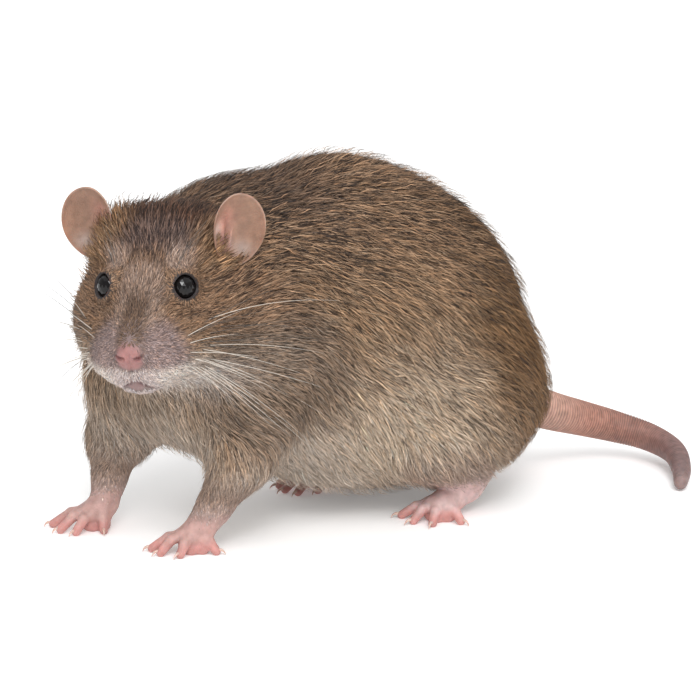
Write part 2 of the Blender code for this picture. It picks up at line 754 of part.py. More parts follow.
def ear(side):
    """A thin cup, deepest low down, whose root follows the head."""
    place, facing, lean = EAR_SEATS[side]
    facing = HEAD_AXES @ np.array(facing)
    facing /= np.linalg.norm(facing)
    level = np.cross(HEAD_AXES[:, 2], facing) * side
    level /= np.linalg.norm(level)
    upward = np.cross(facing, level) * side
    lean = math.radians(lean)
    across = level * math.cos(lean) - upward * math.sin(lean)
    tall = level * math.sin(lean) + upward * math.cos(lean)
    front, back = [], []
    for ring in range(EAR_RINGS + 1):
        ratio = math.sin(ring / EAR_RINGS * math.pi / 2)
        for i in range(EAR_SIDES if ring else 1):
            a = i * 2 * math.pi / EAR_SIDES
            x, z = ratio * math.cos(a), ratio * math.sin(a)
            width = EAR_HALF_WIDTH * (1 - EAR_TAPER * (1 - z) ** 2 / 4)
            depth = EAR_CUP * (1 - ratio ** 2) * (1 - 0.45 * z) + EAR_ROOT_DEPTH * max(0, -z) ** 2
            thickness = EAR_RIM_THICKNESS + (EAR_ROOT_THICKNESS - EAR_RIM_THICKNESS) * (1 - z) / 2
            curl = EAR_CURL * x * x
            middle = from_head(*place) + across * x * width + tall * z * EAR_HALF_HEIGHT
            front.append(middle + facing * (curl - depth))
            back.append(middle + facing * (curl - depth - thickness) - across * x * 0.3)
    count = len(front)
    faces = []
    for i in range(EAR_SIDES):
        j = (i + 1) % EAR_SIDES
        faces.append((0, 1 + i, 1 + j))
        faces.append((count, count + 1 + j, count + 1 + i))
        for ring in range(EAR_RINGS - 1):
            a, b = 1 + ring * EAR_SIDES + i, 1 + ring * EAR_SIDES + j
            faces.append((a, a + EAR_SIDES, b + EAR_SIDES, b))
            faces.append((count + b, count + b + EAR_SIDES, count + a + EAR_SIDES, count + a))
        a, b = 1 + (EAR_RINGS - 1) * EAR_SIDES + i, 1 + (EAR_RINGS - 1) * EAR_SIDES + j
        faces.append((a, a + count, b + count, b))
    cup = made("ear_" + SIDE_NAMES[side], front + back, faces)
    if side == RIGHT:
        cup.data.flip_normals()
    return cup


def ears():
    found = []
    for side in (LEFT, RIGHT):
        near = SKULL + TRUNK[-3:]
        found.append(largest_piece(combined(ear(side), flesh("grown", near, 1.0, GAP), "DIFFERENCE")))
    return found


def eye(side):
    return solid("eye_" + SIDE_NAMES[side], eye_ball(side))


def along(line, radii, count):
    """A smooth curve through some points, with the radius at each of its places."""
    data = np.column_stack([np.array(line, float), radii])
    padded = np.vstack([2 * data[0] - data[1], data, 2 * data[-1] - data[-2]])
    found = []
    for t in np.linspace(0, len(data) - 1, count):
        i = min(int(t), len(data) - 2)
        t -= i
        p0, p1, p2, p3 = padded[i : i + 4]
        found.append(
            0.5 * (2 * p1 + (p2 - p0) * t + (2 * p0 - 5 * p1 + 4 * p2 - p3) * t ** 2
            + (3 * p1 - p0 - 3 * p2 + p3) * t ** 3)
        )
    found = np.array(found)
    return found[:, :3], found[:, 3]


def tail():
    """The tail in three lengths with a blunt, rounded end."""
    places, radii = along(TAIL_LINE, TAIL_RADII, TAIL_NODES * TAIL_RINGS + 1)
    step = places[-1] - places[-2]
    step /= np.linalg.norm(step)
    rounding = [(share, math.sqrt(1 - share ** 2)) for share in (0.35, 0.65, 0.88)]
    places = np.vstack([places] + [places[-1] + step * radii[-1] * share for share, _ in rounding])
    radii = np.concatenate([radii, [radii[-1] * size for _, size in rounding]])
    whole = tube("tail", places, radii, TAIL_SIDES)
    combined(whole, flesh("grown", TRUNK[:4] + list(HAUNCHES.values()), 1.6, GAP), "DIFFERENCE")
    largest_piece(beyond(whole, FLOOR, 0.0))
    found = []
    for index, name in enumerate(("tail_base", "tail_middle", "tail_tip")):
        length = copied(whole, name)
        ends = []
        for ring in (index * TAIL_RINGS, (index + 1) * TAIL_RINGS):
            ends.append((places[ring], places[ring + 1] - places[ring]))
        if index > 0:
            beyond(length, ends[0])
        if index < TAIL_NODES - 1:
            before(length, ends[1])
        found.append(largest_piece(length))
    remove(whole)
    return found


def painted(obj):
    """The object with its own material and smooth shading."""
    colour, roughness = COATS[obj.name]
    material = bpy.data.materials.new(obj.name)
    material.use_nodes = True
    shader = material.node_tree.nodes["Principled BSDF"]
    shader.inputs["Base Color"].default_value = (*colour, 1.0)
    shader.inputs["Roughness"].default_value = roughness
    shader.inputs["Metallic"].default_value = 0.0
    obj.data.materials.clear()
    obj.data.materials.append(material)
    obj.data.shade_smooth()
    obj.data.set_sharp_from_angle(angle=SHARP_ANGLE)


def cleaned(obj):
    """The mesh in triangles, without slivers or doubled corners."""
    mesh = bmesh.new()
    mesh.from_mesh(obj.data)
    bmesh.ops.remove_doubles(mesh, verts=mesh.verts, dist=WELD)
    bmesh.ops.dissolve_degenerate(mesh, edges=mesh.edges, dist=WELD)
    bmesh.ops.triangulate(mesh, faces=mesh.faces)
    mesh.to_mesh(obj.data)
    mesh.free()


def main():
    for obj in list(bpy.data.objects):
        bpy.data.objects.remove(obj, do_unlink=True)
    nodes = [head(), *body_parts(), *feet(), *ears(), eye(LEFT), eye(RIGHT), *tail()]
    for obj in nodes:
        cleaned(obj)
        painted(obj)
    places = np.vstack([read_points(obj.data) for obj in nodes])
    low, high = places.min(axis=0), places.max(axis=0)
    origin = np.array([(low[0] + high[0]) / 2, (low[1] + high[1]) / 2, 0.0])
    for obj in nodes:
        write_points(obj.data, (read_points(obj.data) - origin) * MM)


main()
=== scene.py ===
"""The looks of a brown rat: one skin with its ears and tail, a coat of fine tufts, whiskers, claws and eyes.

Sizes are in millimetres in the rat's stance frame: x to its left, y to its rear, z up, the floor at z = 0
and its midline at x = 0. The function in_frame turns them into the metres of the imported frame.
"""

import math

import bmesh
import bpy
import numpy as np
from mathutils import Matrix, Vector


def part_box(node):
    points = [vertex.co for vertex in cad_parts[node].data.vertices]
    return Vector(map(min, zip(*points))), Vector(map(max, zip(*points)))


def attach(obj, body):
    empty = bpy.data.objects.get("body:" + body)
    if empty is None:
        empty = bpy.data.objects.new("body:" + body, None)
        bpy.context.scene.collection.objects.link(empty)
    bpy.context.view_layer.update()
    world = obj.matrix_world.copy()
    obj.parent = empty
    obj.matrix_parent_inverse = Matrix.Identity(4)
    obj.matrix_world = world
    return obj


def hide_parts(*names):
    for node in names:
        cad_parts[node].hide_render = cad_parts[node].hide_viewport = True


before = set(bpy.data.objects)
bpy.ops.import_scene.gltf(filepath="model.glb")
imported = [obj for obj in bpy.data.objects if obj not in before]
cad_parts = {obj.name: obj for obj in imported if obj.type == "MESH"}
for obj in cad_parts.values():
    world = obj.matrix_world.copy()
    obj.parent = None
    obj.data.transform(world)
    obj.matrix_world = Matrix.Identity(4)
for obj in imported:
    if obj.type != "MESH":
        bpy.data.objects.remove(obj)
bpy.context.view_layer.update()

MM = 0.001
FAR = 1000.0  # a distance that no mass of the body reaches
LEFT, RIGHT = 1, -1
SIDES = (LEFT, RIGHT)
SIDE_NAMES = {LEFT: "left", RIGHT: "right"}

# Head: its frame has its origin midway between the eyes, f forward, l to the rat's left, u up
HEAD_ORIGIN = np.array((18.4, -77.4, 76.6))
HEAD_TURN = 50.0  # degrees to the rat's left
HEAD_NOD = 4.0  # degrees nose down
HEAD_ROLL = 1.2  # degrees
EYE_RADIUS = 3.7
EYE_CENTRE = (0.9, 9.9, 0.1)
EYE_AXIS = (0.77, 0.59, 0.25)
NOSE_CENTRE = (20.0, 0.0, -12.6)

EAR_HALF_WIDTH = 8.2
EAR_HALF_HEIGHT = 10.2
EAR_CUP = 4.6
EAR_SEATS = {  # the middle of each ear, which way its cup opens and its lean outward in degrees
    LEFT: ((-13.0, 23.0, 12.3), (0.76, 0.62, 0.06), 11.0),
    RIGHT: ((-13.0, -19.1, 13.8), (0.95, -0.25, 0.06), 4.0),
}
EAR_ROOTS = {
    LEFT: ((-16.0, 11.0, 2.0), (-20.5, 17.8, 6.0)),
    RIGHT: ((-16.0, -10.0, 3.0), (-20.5, -13.6, 8.5)),
}
EAR_ROOT_RADII = (6.5, 3.7)

TAIL_LINE = (
    (0.0, 56.0, 24.0),
    (0.0, 67.0, 19.5),
    (-2.0, 80.0, 15.0),
    (-1.0, 92.0, 11.0),
    (6.0, 100.5, 8.0),
    (17.5, 101.5, 5.9),
    (29.0, 96.0, 3.9),
    (37.5, 89.5, 2.4),
)
TAIL_RADII = (6.6, 6.0, 5.5, 5.0, 4.4, 3.8, 3.0, 2.1)


def frame_axes(turn, nod=0.0, roll=0.0):
    """Forward, left and up unit vectors, as the columns of a matrix, after a turn to the rat's left."""
    turn, nod, roll = np.radians([turn, nod, roll])
    forward = np.array([math.sin(turn) * math.cos(nod), -math.cos(turn) * math.cos(nod), -math.sin(nod)])
    level_left = np.array([math.cos(turn), math.sin(turn), 0.0])
    level_up = np.cross(forward, level_left)
    left = level_left * math.cos(roll) + level_up * math.sin(roll)
    return np.column_stack([forward, left, np.cross(forward, left)])


HEAD_AXES = frame_axes(HEAD_TURN, HEAD_NOD, HEAD_ROLL)


def from_head(*place):
    """A place in the head's frame, as one in the stance frame."""
    return HEAD_ORIGIN + HEAD_AXES @ np.array(place, float)


def in_head(points):
    """Places in the stance frame, as f, l and u in the head's frame."""
    return (points - HEAD_ORIGIN) @ HEAD_AXES


def eye_place(side):
    return from_head(EYE_CENTRE[0], side * EYE_CENTRE[1], EYE_CENTRE[2])


EYE_LOW, EYE_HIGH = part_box("eye_left")
ORIGIN = eye_place(LEFT) - (np.array(EYE_LOW) + np.array(EYE_HIGH)) / 2 / MM


def in_frame(points):
    """Places in the stance frame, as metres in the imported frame."""
    return (np.asarray(points, float) - ORIGIN) * MM


# Masses of the body

def ellipsoid(centre, radii, axes=None):
    """A mass with three radii along its axes, which are the columns of a matrix."""
    axes = np.eye(3) if axes is None else axes
    return {"centre": np.array(centre, float), "radii": np.array(radii, float), "axes": axes}


def limb(start, end, start_radius, end_radius):
    """A tapered mass between two points, round at both ends."""
    return {
        "start": np.array(start, float),
        "end": np.array(end, float),
        "start_radius": start_radius,
        "end_radius": end_radius,
    }


def chain(points, radii):
    """Tapered masses from point to point."""
    return [limb(a, b, ra, rb) for a, b, ra, rb in zip(points, points[1:], radii, radii[1:])]


def turned(centre, radii, turn):
    """An ellipsoid turned about the vertical by some degrees."""
    a = math.radians(turn)
    axes = np.array([[math.cos(a), -math.sin(a), 0], [math.sin(a), math.cos(a), 0], [0, 0, 1]])
    return ellipsoid(centre, radii, axes)


def head_mass(centre, radii):
    """An ellipsoid in the head's frame: its radii run forward, left and up."""
    return ellipsoid(from_head(*centre), radii, HEAD_AXES)


def head_pair(centre, radii):
    f, l, u = centre
    return [head_mass((f, side * l, u), radii) for side in SIDES]


def head_limb(start, end, start_radius, end_radius):
    return limb(from_head(*start), from_head(*end), start_radius, end_radius)


TRUNK = [
    ellipsoid((0, 12, 50), (33, 40, 42.5)),
    ellipsoid((0, 36, 31), (23, 24, 22)),
    ellipsoid((0, -10, 60), (34, 43, 45)),
    ellipsoid((0, -2, 38), (36, 48, 29)),
    ellipsoid((-4, -40, 58), (25, 32, 38.5)),
    limb((-4, -43, 65), from_head(-26, 0, -5), 26.5, 16.5),
    limb((0, -54, 49), from_head(-12, 0, -17), 21, 13),
]
HAUNCHES = [turned((20, 20, 36), (16, 29, 25), 8), turned((-20, 16, 35), (16, 29, 26), -8)]
SHOULDERS = [turned((17, -48, 46), (13, 18, 28), -6), turned((-16, -63, 46.5), (13, 18.5, 25.5), 6)]
SKULL = [
    head_mass((-16, 0, -0.5), (16.5, 17.5, 15.5)),
    head_limb((-19, -7.5, 8.5), (-19, 7.5, 8.0), 9.0, 9.0),
    head_limb((-1, 0, -6.5), (17.0, 0, -12.2), 11.0, 6.0),
    head_limb((-10, 0, -17.5), (10, 0, -21.5), 12, 5.5),
    *head_pair((-13, 13.2, -12), (12.5, 11.6, 13.5)),
    *[head_limb((-12, side * 7.5, 1), (-0.5, side * 4.6, -0.4), 8.0, 4.4) for side in SIDES],
    *[head_limb(*ends, *EAR_ROOT_RADII) for ends in EAR_ROOTS.values()],
]
MUZZLE_PADS = [head_limb((-4, side * 9.5, -15), (12.6, side * 5.0, -16.6), 11.6, 7.0) for side in SIDES]
LOWER_LIP = [head_mass((11.5, 0, -23.0), (5.0, 5.0, 3.4))]
NOSE = [head_mass(NOSE_CENTRE, (3.0, 3.5, 3.0)), *head_pair((20.9, 2.1, -13.2), (2.4, 2.0, 2.1))]
LID_THICKNESS = 0.8
LID_MOUNDS = head_pair(EYE_CENTRE, (EYE_RADIUS + LID_THICKNESS,) * 3)

# Legs: the joints of each, then its toes as root, knuckle and tip
FORE_JOINTS = {
    LEFT: ((21, -46, 42), (26.0, -52.4, 27.4), (22.6, -60.6, 12.2), (20.6, -63.0, 7.4)),
    RIGHT: ((-20, -63, 40), (-22.1, -68.3, 24.5), (-17.1, -73.6, 12.5), (-14.1, -76.4, 7.5)),
}
FORE_RADII = (12.5, 8.4, 4.1, 3.5)
FORE_TOES = {
    LEFT: (
        ((18.4, -67.0, 5.0), (16.2, -71.0, 4.2), (14.0, -75.1, 1.1)),
        ((19.9, -67.6, 5.4), (19.4, -71.6, 4.6), (18.9, -74.8, 1.1)),
        ((21.6, -66.6, 5.2), (22.6, -69.0, 4.2), (23.3, -71.0, 1.1)),
        ((22.6, -63.6, 4.6), (24.2, -62.4, 3.6), (25.4, -60.9, 1.1)),
    ),
    RIGHT: (
        ((-16.5, -80.6, 5.2), (-19.0, -84.7, 4.4), (-21.6, -89.2, 1.1)),
        ((-14.4, -81.4, 5.5), (-14.8, -85.8, 4.6), (-15.1, -89.8, 1.1)),
        ((-12.7, -80.8, 5.2), (-11.7, -84.0, 4.3), (-10.9, -86.9, 1.1)),
        ((-11.6, -77.9, 4.6), (-10.2, -78.6, 3.7), (-8.4, -79.4, 1.1)),
    ),
}
HIND_JOINTS = {
    LEFT: ((24, 20, 31), (30, 7, 24.5), (25.4, 22.0, 11.0), (24.6, 21.8, 7.6)),
    RIGHT: ((-24, 10, 31), (-30, -5, 24.5), (-25, 13.5, 11.0), (-23.8, 14.0, 7.0)),
}
HIND_RADII = (18.0, 10.0, 4.3, 3.7)
SOLE = {
    LEFT: ((24.8, 21.2, 7.4), (27.6, 11.6, 4.4)),
    RIGHT: ((-23.6, 13.4, 6.6), (-21.5, -1.0, 4.4)),
}
SOLE_RADII = (3.8, 4.3)
HIND_TOES = {
    LEFT: (
        ((24.2, 11.6, 3.6), (22.6, 10.0, 2.8), (20.8, 8.2, 1.1)),
        ((25.0, 8.8, 4.4), (22.9, 5.4, 3.7), (20.7, 1.9, 1.1)),
        ((27.0, 8.2, 4.8), (27.3, 5.0, 4.1), (27.4, 1.8, 1.1)),
        ((29.0, 9.0, 4.8), (30.8, 7.2, 4.1), (32.4, 5.2, 1.1)),
        ((30.0, 12.0, 4.3), (32.3, 12.8, 3.5), (34.6, 13.4, 1.1)),
    ),
    RIGHT: (
        ((-24.0, -2.2, 4.2), (-26.8, -5.6, 3.4), (-28.2, -9.6, 1.1)),
        ((-22.6, -4.2, 4.8), (-24.0, -9.0, 4.2), (-24.6, -13.8, 1.1)),
        ((-21.0, -4.8, 4.8), (-20.4, -9.8, 4.3), (-19.6, -14.6, 1.1)),
        ((-19.6, -3.6, 4.6), (-17.2, -8.2, 4.0), (-15.2, -12.6, 1.1)),
        ((-18.8, -0.4, 4.0), (-16.0, -3.0, 3.0), (-14.2, -6.4, 1.1)),
    ),
}
TOE_RADII = (1.75, 1.5, 1.25)
PAD_RADIUS, PAD_HEIGHT = 1.9, 1.7
PAD_DRAW = 0.25  # how far a pad reaches from under a toe's root towards the heel
PALM_RADII, BALL_RADII = (3.4, 2.5), (3.4, 2.4)  # at the wrist or the ball of the foot, and at a toe's root


def toes(rows):
    return [mass for row in rows for mass in chain(row, TOE_RADII)]


def pads(rows, heel):
    """A pad under each toe's root, drawn in towards the heel."""
    found = []
    for root, _, _ in rows:
        place = (1 - PAD_DRAW) * np.array(root) + PAD_DRAW * np.array(heel)
        place[2] = PAD_HEIGHT
        found.append(limb(place, (root[0], root[1], PAD_HEIGHT), PAD_RADIUS, PAD_RADIUS))
    return found


def fore_leg(side):
    return chain(FORE_JOINTS[side], FORE_RADII)


def hind_leg(side):
    return chain(HIND_JOINTS[side], HIND_RADII)


def palm(side):
    """The fore paw's palm: a mass from the wrist to each toe's root, and the pads under it."""
    wrist = FORE_JOINTS[side][-1]
    spread = [limb(wrist, row[0], *PALM_RADII) for row in FORE_TOES[side]]
    return spread + pads(FORE_TOES[side], wrist)


def sole(side):
    """The hind foot from heel to the ball, widened to each toe's root, and the pads under it."""
    heel, front = SOLE[side]
    spread = [limb(front, row[0], *BALL_RADII) for row in HIND_TOES[side]]
    return [limb(heel, front, *SOLE_RADII)] + spread + pads(HIND_TOES[side], heel)


# Each group of masses, the blend inside it, and the blend with the groups before it
GROUPS = [
    (TRUNK, 14.0, 1.0),
    *[([mass], 1.0, 9.0) for mass in HAUNCHES + SHOULDERS],
    (SKULL, 5.5, 7.0),
    (MUZZLE_PADS, 2.5, 5.5),
    (LOWER_LIP, 1.0, 1.6),
    (NOSE, 0.8, 1.4),
    (LID_MOUNDS, 0.5, 3.2),
    *[(fore_leg(side), 4.0, 6.0) for side in SIDES],
    *[(hind_leg(side), 5.0, 8.0) for side in SIDES],
    *[(palm(side), 1.2, 2.0) for side in SIDES],
    *[(sole(side), 1.2, 2.0) for side in SIDES],
    *[(toes(FORE_TOES[side]), 0.5, 0.9) for side in SIDES],
    *[(toes(HIND_TOES[side]), 0.5, 0.9) for side in SIDES],
]


# The smooth surface of the masses

def distance_to(mass, points):
    """About how far each point is outside the mass, negative inside, and which way is outward."""
    if "centre" in mass:
        local = (points - mass["centre"]) @ mass["axes"]
        outward = lengths(local / mass["radii"])
        steep = local / mass["radii"] ** 2
        slope = np.maximum(lengths(steep), 1e-9)
        return outward * (outward - 1) / slope, (steep / slope[:, None]) @ mass["axes"].T
    along = mass["end"] - mass["start"]
    length = np.linalg.norm(along)
    along = along / length
    widening = (mass["end_radius"] - mass["start_radius"]) / length
    away = points - mass["start"]
    height = away @ along
    aside = np.sqrt(np.maximum((away * away).sum(axis=1) - height * height, 0))
    reach = np.clip(height + aside * widening / math.sqrt(max(1 - widening * widening, 0.01)), 0, length)
    away -= reach[:, None] * along
    from_axis = np.maximum(lengths(away), 1e-9)
    return from_axis - mass["start_radius"] - widening * reach, away / from_axis[:, None]


def smooth_union(one, other, blend):
    """The nearer of two distances, with the crease between them filled over about the blend's width."""
    share = np.clip(0.5 + 0.5 * (other[0] - one[0]) / blend, 0, 1)
    distance = other[0] * (1 - share) + one[0] * share - blend * share * (1 - share)
    return distance, other[1] * (1 - share)[:, None] + one[1] * share[:, None]


def reach_of(masses):
    """The box that holds these masses."""
    ends = []
    for mass in masses:
        if "centre" in mass:
            ends += [mass["centre"] - mass["radii"].max(), mass["centre"] + mass["radii"].max()]
        else:
            widest = max(mass["start_radius"], mass["end_radius"])
            ends += [mass[end] + sign * widest for end in ("start", "end") for sign in (-1, 1)]
    return np.min(ends, axis=0), np.max(ends, axis=0)


def merged(masses, points, blend):
    """The smooth union of a group of masses."""
    total = distance_to(masses[0], points)
    for mass in masses[1:]:
        total = smooth_union(total, distance_to(mass, points), blend)
    return total


def body_distance(points):
    """About how far each point is outside the coat's surface, and which way is outward."""
    distance = np.full(len(points), FAR)
    outward = np.zeros((len(points), 3))
    for masses, inner_blend, outer_blend in GROUPS:
        low, high = reach_of(masses)
        margin = 2 * outer_blend + 3
        near = np.all((points > low - margin) & (points < high + margin), axis=1)
        if near.any():
            group = merged(masses, points[near], inner_blend)
            before = distance[near], outward[near]
            distance[near], outward[near] = smooth_union(before, group, outer_blend)
    return distance, outward


# Where things are on the body

def lengths(vectors):
    return np.linalg.norm(vectors, axis=-1)


def unit(vectors):
    return vectors / np.maximum(np.linalg.norm(vectors, axis=-1, keepdims=True), 1e-9)


def smooth(low, high, values):
    """0 at low and 1 at high, with a soft step between them."""
    share = np.clip((values - low) / (high - low), 0, 1)
    return share * share * (3 - 2 * share)


def noise(points, size, seed):
    """Smooth random values from -1 to 1 that change over about this many millimetres.

    The value at each corner of a cell comes from stirring its place with large odd numbers.
    """
    cells = points / size + 17.3 * seed
    base = np.floor(cells).astype(np.int64)
    part = cells - base
    part = part * part * (3 - 2 * part)
    total = np.zeros(len(points))
    for corner in range(8):
        step = np.array([corner & 1, corner >> 1 & 1, corner >> 2 & 1])
        key = base + step
        stirred = key[:, 0] * 73856093 ^ key[:, 1] * 19349663 ^ key[:, 2] * 83492791
        stirred = (stirred ^ stirred >> 13) * 1274126177 & 0xFFFFFFF
        value = ((stirred ^ stirred >> 15) & 0xFFFF) / 32767.5 - 1
        total += value * np.prod(np.where(step, part, 1 - part), axis=1)
    return total


def eye_distance(points):
    """How far each point is from the nearer eye's centre."""
    return np.min([lengths(points - eye_place(side)) for side in SIDES], axis=0)


HEAD_START, HEAD_UNDER = (-26, -12), (-34, -25)  # where the neck turns into the head, along it and up it


def headness(points):
    """1 on the head, 0 on the body, and between them on the neck."""
    f, _, u = in_head(points).T
    return smooth(*HEAD_START, f) * smooth(*HEAD_UNDER, u)


LEG_TOP, FOOT_TOP = 45.0, 14.0  # how high the masses of the legs and of the feet matter
LEG_FADE = 14.0  # how far under its top a leg is fully a leg
LEG_EDGE = (4.5, 0.5)  # distances from a leg's masses where the body turns into the leg


def legness(points):
    """How much each point belongs to a leg or foot, from 0 to 1."""
    found = np.zeros(len(points))
    legs = [mass for side in SIDES for mass in fore_leg(side) + hind_leg(side)[1:]]
    paws = [mass for side in SIDES for mass in palm(side) + toes(FORE_TOES[side])]
    paws += [mass for side in SIDES for mass in sole(side) + toes(HIND_TOES[side])]
    for masses, top in ((legs, LEG_TOP), (paws, FOOT_TOP)):
        low = points[:, 2] < top
        near = np.min([distance_to(mass, points[low])[0] for mass in masses], axis=0)
        found[low] = np.maximum(found[low], smooth(*LEG_EDGE, near))
    return found * smooth(LEG_TOP, LEG_TOP - LEG_FADE, points[:, 2])


def leg_fur(points):
    """How full a leg's fur is at each height: none on the foot, and as on the body at its top."""
    top = np.where(points[:, 1] < MIDDLE, FORE_FUR_TOP, HIND_FUR_TOP)
    return smooth(BARE_HEIGHT, top, points[:, 2])


EYE_REACH, FAR_FROM_LIDS = 14.0, 9.0  # past this distance from an eye, points get this ratio


def lid_ratio(points):
    """How far each point is from the middle of the nearer eye's slit: 1 is the edge of the lids."""
    found = np.full(len(points), FAR_FROM_LIDS)
    for side in SIDES:
        slit, across, axis = eye_axes(side)
        away = points - eye_place(side)
        near = (away @ axis > 0) & (lengths(away) < EYE_REACH)
        x, y = away[near] @ slit / LID_OPENING[0], away[near] @ across / LID_OPENING[1]
        found[near] = np.minimum(found[near], np.hypot(x, y))
    return found


def tail_distance(points):
    """How far each point is from the tail's centre line."""
    masses = chain(TAIL_LINE, (0.0,) * len(TAIL_LINE))
    return np.min([distance_to(mass, points)[0] for mass in masses], axis=0)


# Places along the head, and the coat's depth at each
HEAD_DEPTHS = ((-26, -10, 0, 8, 15, 19), (2.4, 1.5, 1.0, 0.6, 0.35, 0.05))
BODY_DEPTH = 2.7
EYE_FUR, NOSE_FUR = (3.9, 8.5), (3.0, 6.5)  # how far from an eye and the nose the coat begins and is full
LONGEST_STEP = 2.5  # in drawing points onto the skin
MIDDLE = -30.0  # the fore legs are ahead of this place along the body, the hind legs behind it
BARE_HEIGHT, FORE_FUR_TOP, HIND_FUR_TOP = 9.0, 42.0, 23.0  # where the legs' fur begins, and where it is full


def coat_depth(points):
    """How deep the coat is: the skin lies this far inside its surface."""
    f = in_head(points)[:, 0]
    head = np.interp(f, *HEAD_DEPTHS) * smooth(*EYE_FUR, eye_distance(points))
    head *= smooth(*NOSE_FUR, lengths(points - from_head(*NOSE_CENTRE)))
    share = headness(points)
    depth = BODY_DEPTH * (1 - share) + head * share
    leg = np.minimum(depth, BODY_DEPTH * leg_fur(points))
    share = legness(points)
    return depth * (1 - share) + leg * share


def drawn_onto_skin(points, height=0.0, rounds=5):
    """Points moved inward or outward until they lie at a height above the skin."""
    points = points.copy()
    for _ in range(rounds):
        distance, outward = body_distance(points)
        off = distance + coat_depth(points) - height
        points -= outward * np.clip(off, -LONGEST_STEP, LONGEST_STEP)[:, None]
    return points


# Meshes

def link(name, mesh):
    obj = bpy.data.objects.new(name, mesh)
    bpy.context.scene.collection.objects.link(obj)
    return obj


def made(name, corners, faces):
    """A mesh object of these corners and faces."""
    mesh = bpy.data.meshes.new(name)
    mesh.from_pydata([tuple(corner) for corner in corners], [], [tuple(face) for face in faces])
    return link(name, mesh)


def remove(obj):
    bpy.data.objects.remove(obj, do_unlink=True)


def applied(obj):
    """The object with its modifiers worked into its mesh."""
    graph = bpy.context.evaluated_depsgraph_get()
    mesh = bpy.data.meshes.new_from_object(obj.evaluated_get(graph), depsgraph=graph)
    obj.modifiers.clear()
    obj.data = mesh
    return obj


def read_points(mesh):
    found = np.empty(len(mesh.vertices) * 3)
    mesh.vertices.foreach_get("co", found)
    return found.reshape(-1, 3)


def write_points(mesh, points):
    mesh.vertices.foreach_set("co", points.astype(np.float32).ravel())
    mesh.update()


def taken(mesh):
    """The corners and triangles of a working mesh, which is used up."""
    corners = np.array([vertex.co[:] for vertex in mesh.verts])
    faces = np.array([[vertex.index for vertex in face.verts] for face in mesh.faces])
    mesh.free()
    return corners, faces


def unit_ball(subdivisions):
    """The corners and triangles of a ball of radius 1."""
    mesh = bmesh.new()
    bmesh.ops.create_icosphere(mesh, subdivisions=subdivisions, radius=1.0)
    return taken(mesh)


def hull(points):
    """The corners and triangles of the convex hull of some points."""
    mesh = bmesh.new()
    for point in points:
        mesh.verts.new(point)
    bmesh.ops.convex_hull(mesh, input=mesh.verts)
    bmesh.ops.delete(mesh, geom=[v for v in mesh.verts if not v.link_faces], context="VERTS")
    mesh.verts.index_update()
    return taken(mesh)


def shape_of(mass, swell, subdivisions):
    """The corners and triangles of one mass, made bigger by some millimetres."""
    corners, faces = unit_ball(subdivisions)
    if "centre" in mass:
        return mass["centre"] + (corners * (mass["radii"] + swell)) @ mass["axes"].T, faces
    start = mass["start"] + corners * (mass["start_radius"] + swell)
    end = mass["end"] + corners * (mass["end_radius"] + swell)
    return hull(np.vstack([start, end]))


def joined(name, shapes):
    """One mesh of many separate shapes, each as its corners and faces."""
    corners, faces, count = [], [], 0
    for shape_corners, shape_faces in shapes:
        corners.append(shape_corners)
        faces += [tuple(index + count for index in face) for face in shape_faces]
        count += len(shape_corners)
    return made(name, np.vstack(corners), faces)


def remeshed(obj, voxel):
    modifier = obj.modifiers.new("remesh", "REMESH")
    modifier.mode = "VOXEL"
    modifier.voxel_size = voxel
    return applied(obj)


ROUGH_SWELL, ROUGH_DETAIL = 0.2, 2  # of the masses' shapes, before they are drawn onto the skin


def flesh(name, masses, voxel, sink=0.0):
    """A closed mesh of these masses, drawn onto the skin or sunk a little under it."""
    shapes = [shape_of(mass, ROUGH_SWELL, ROUGH_DETAIL) for mass in masses]
    obj = remeshed(joined(name, shapes), voxel)
    write_points(obj.data, drawn_onto_skin(read_points(obj.data), -sink))
    obj = remeshed(obj, voxel)
    write_points(obj.data, drawn_onto_skin(read_points(obj.data), -sink, rounds=3))
    return obj


def combined(obj, cutter, operation):
    """The object after a Boolean with the cutter, which is used up."""
    modifier = obj.modifiers.new(operation.lower(), "BOOLEAN")
    modifier.object = cutter
    modifier.operation = operation
    modifier.solver = "MANIFOLD"
    applied(obj)
    remove(cutter)
    return obj


HALF_SPACE = 260.0  # the side of a box bigger than the rat


def half_space(point, normal):
    """A big box on the side of a plane that the normal points to."""
    away = Vector(normal).normalized()
    turn = away.to_track_quat("Z", "Y").to_matrix().to_4x4()
    mesh = bmesh.new()
    bmesh.ops.create_cube(mesh, size=HALF_SPACE)
    mesh.transform(Matrix.Translation(Vector(point) + away * HALF_SPACE / 2) @ turn)
    data = bpy.data.meshes.new("half_space")
    mesh.to_mesh(data)
    mesh.free()
    return link("half_space", data)


def beyond(obj, point, normal):
    """What lies on the side of a plane that its normal points to."""
    return combined(obj, half_space(point, normal), "INTERSECT")


def above_floor(obj):
    return beyond(obj, (0.0, 0.0, 0.0), (0.0, 0.0, 1.0))


def along(line, radii, count):
    """A smooth curve through some points, with the radius at each of its places."""
    data = np.column_stack([np.array(line, float), radii])
    padded = np.vstack([2 * data[0] - data[1], data, 2 * data[-1] - data[-2]])
    found = []
    for t in np.linspace(0, len(data) - 1, count):
        i = min(int(t), len(data) - 2)
        t -= i
        p0, p1, p2, p3 = padded[i : i + 4]
        square = (2 * p0 - 5 * p1 + 4 * p2 - p3) * t ** 2
        found.append(0.5 * (2 * p1 + (p2 - p0) * t + square + (3 * p1 - p0 - 3 * p2 + p3) * t ** 3))
    found = np.array(found)
    return found[:, :3], found[:, 3]


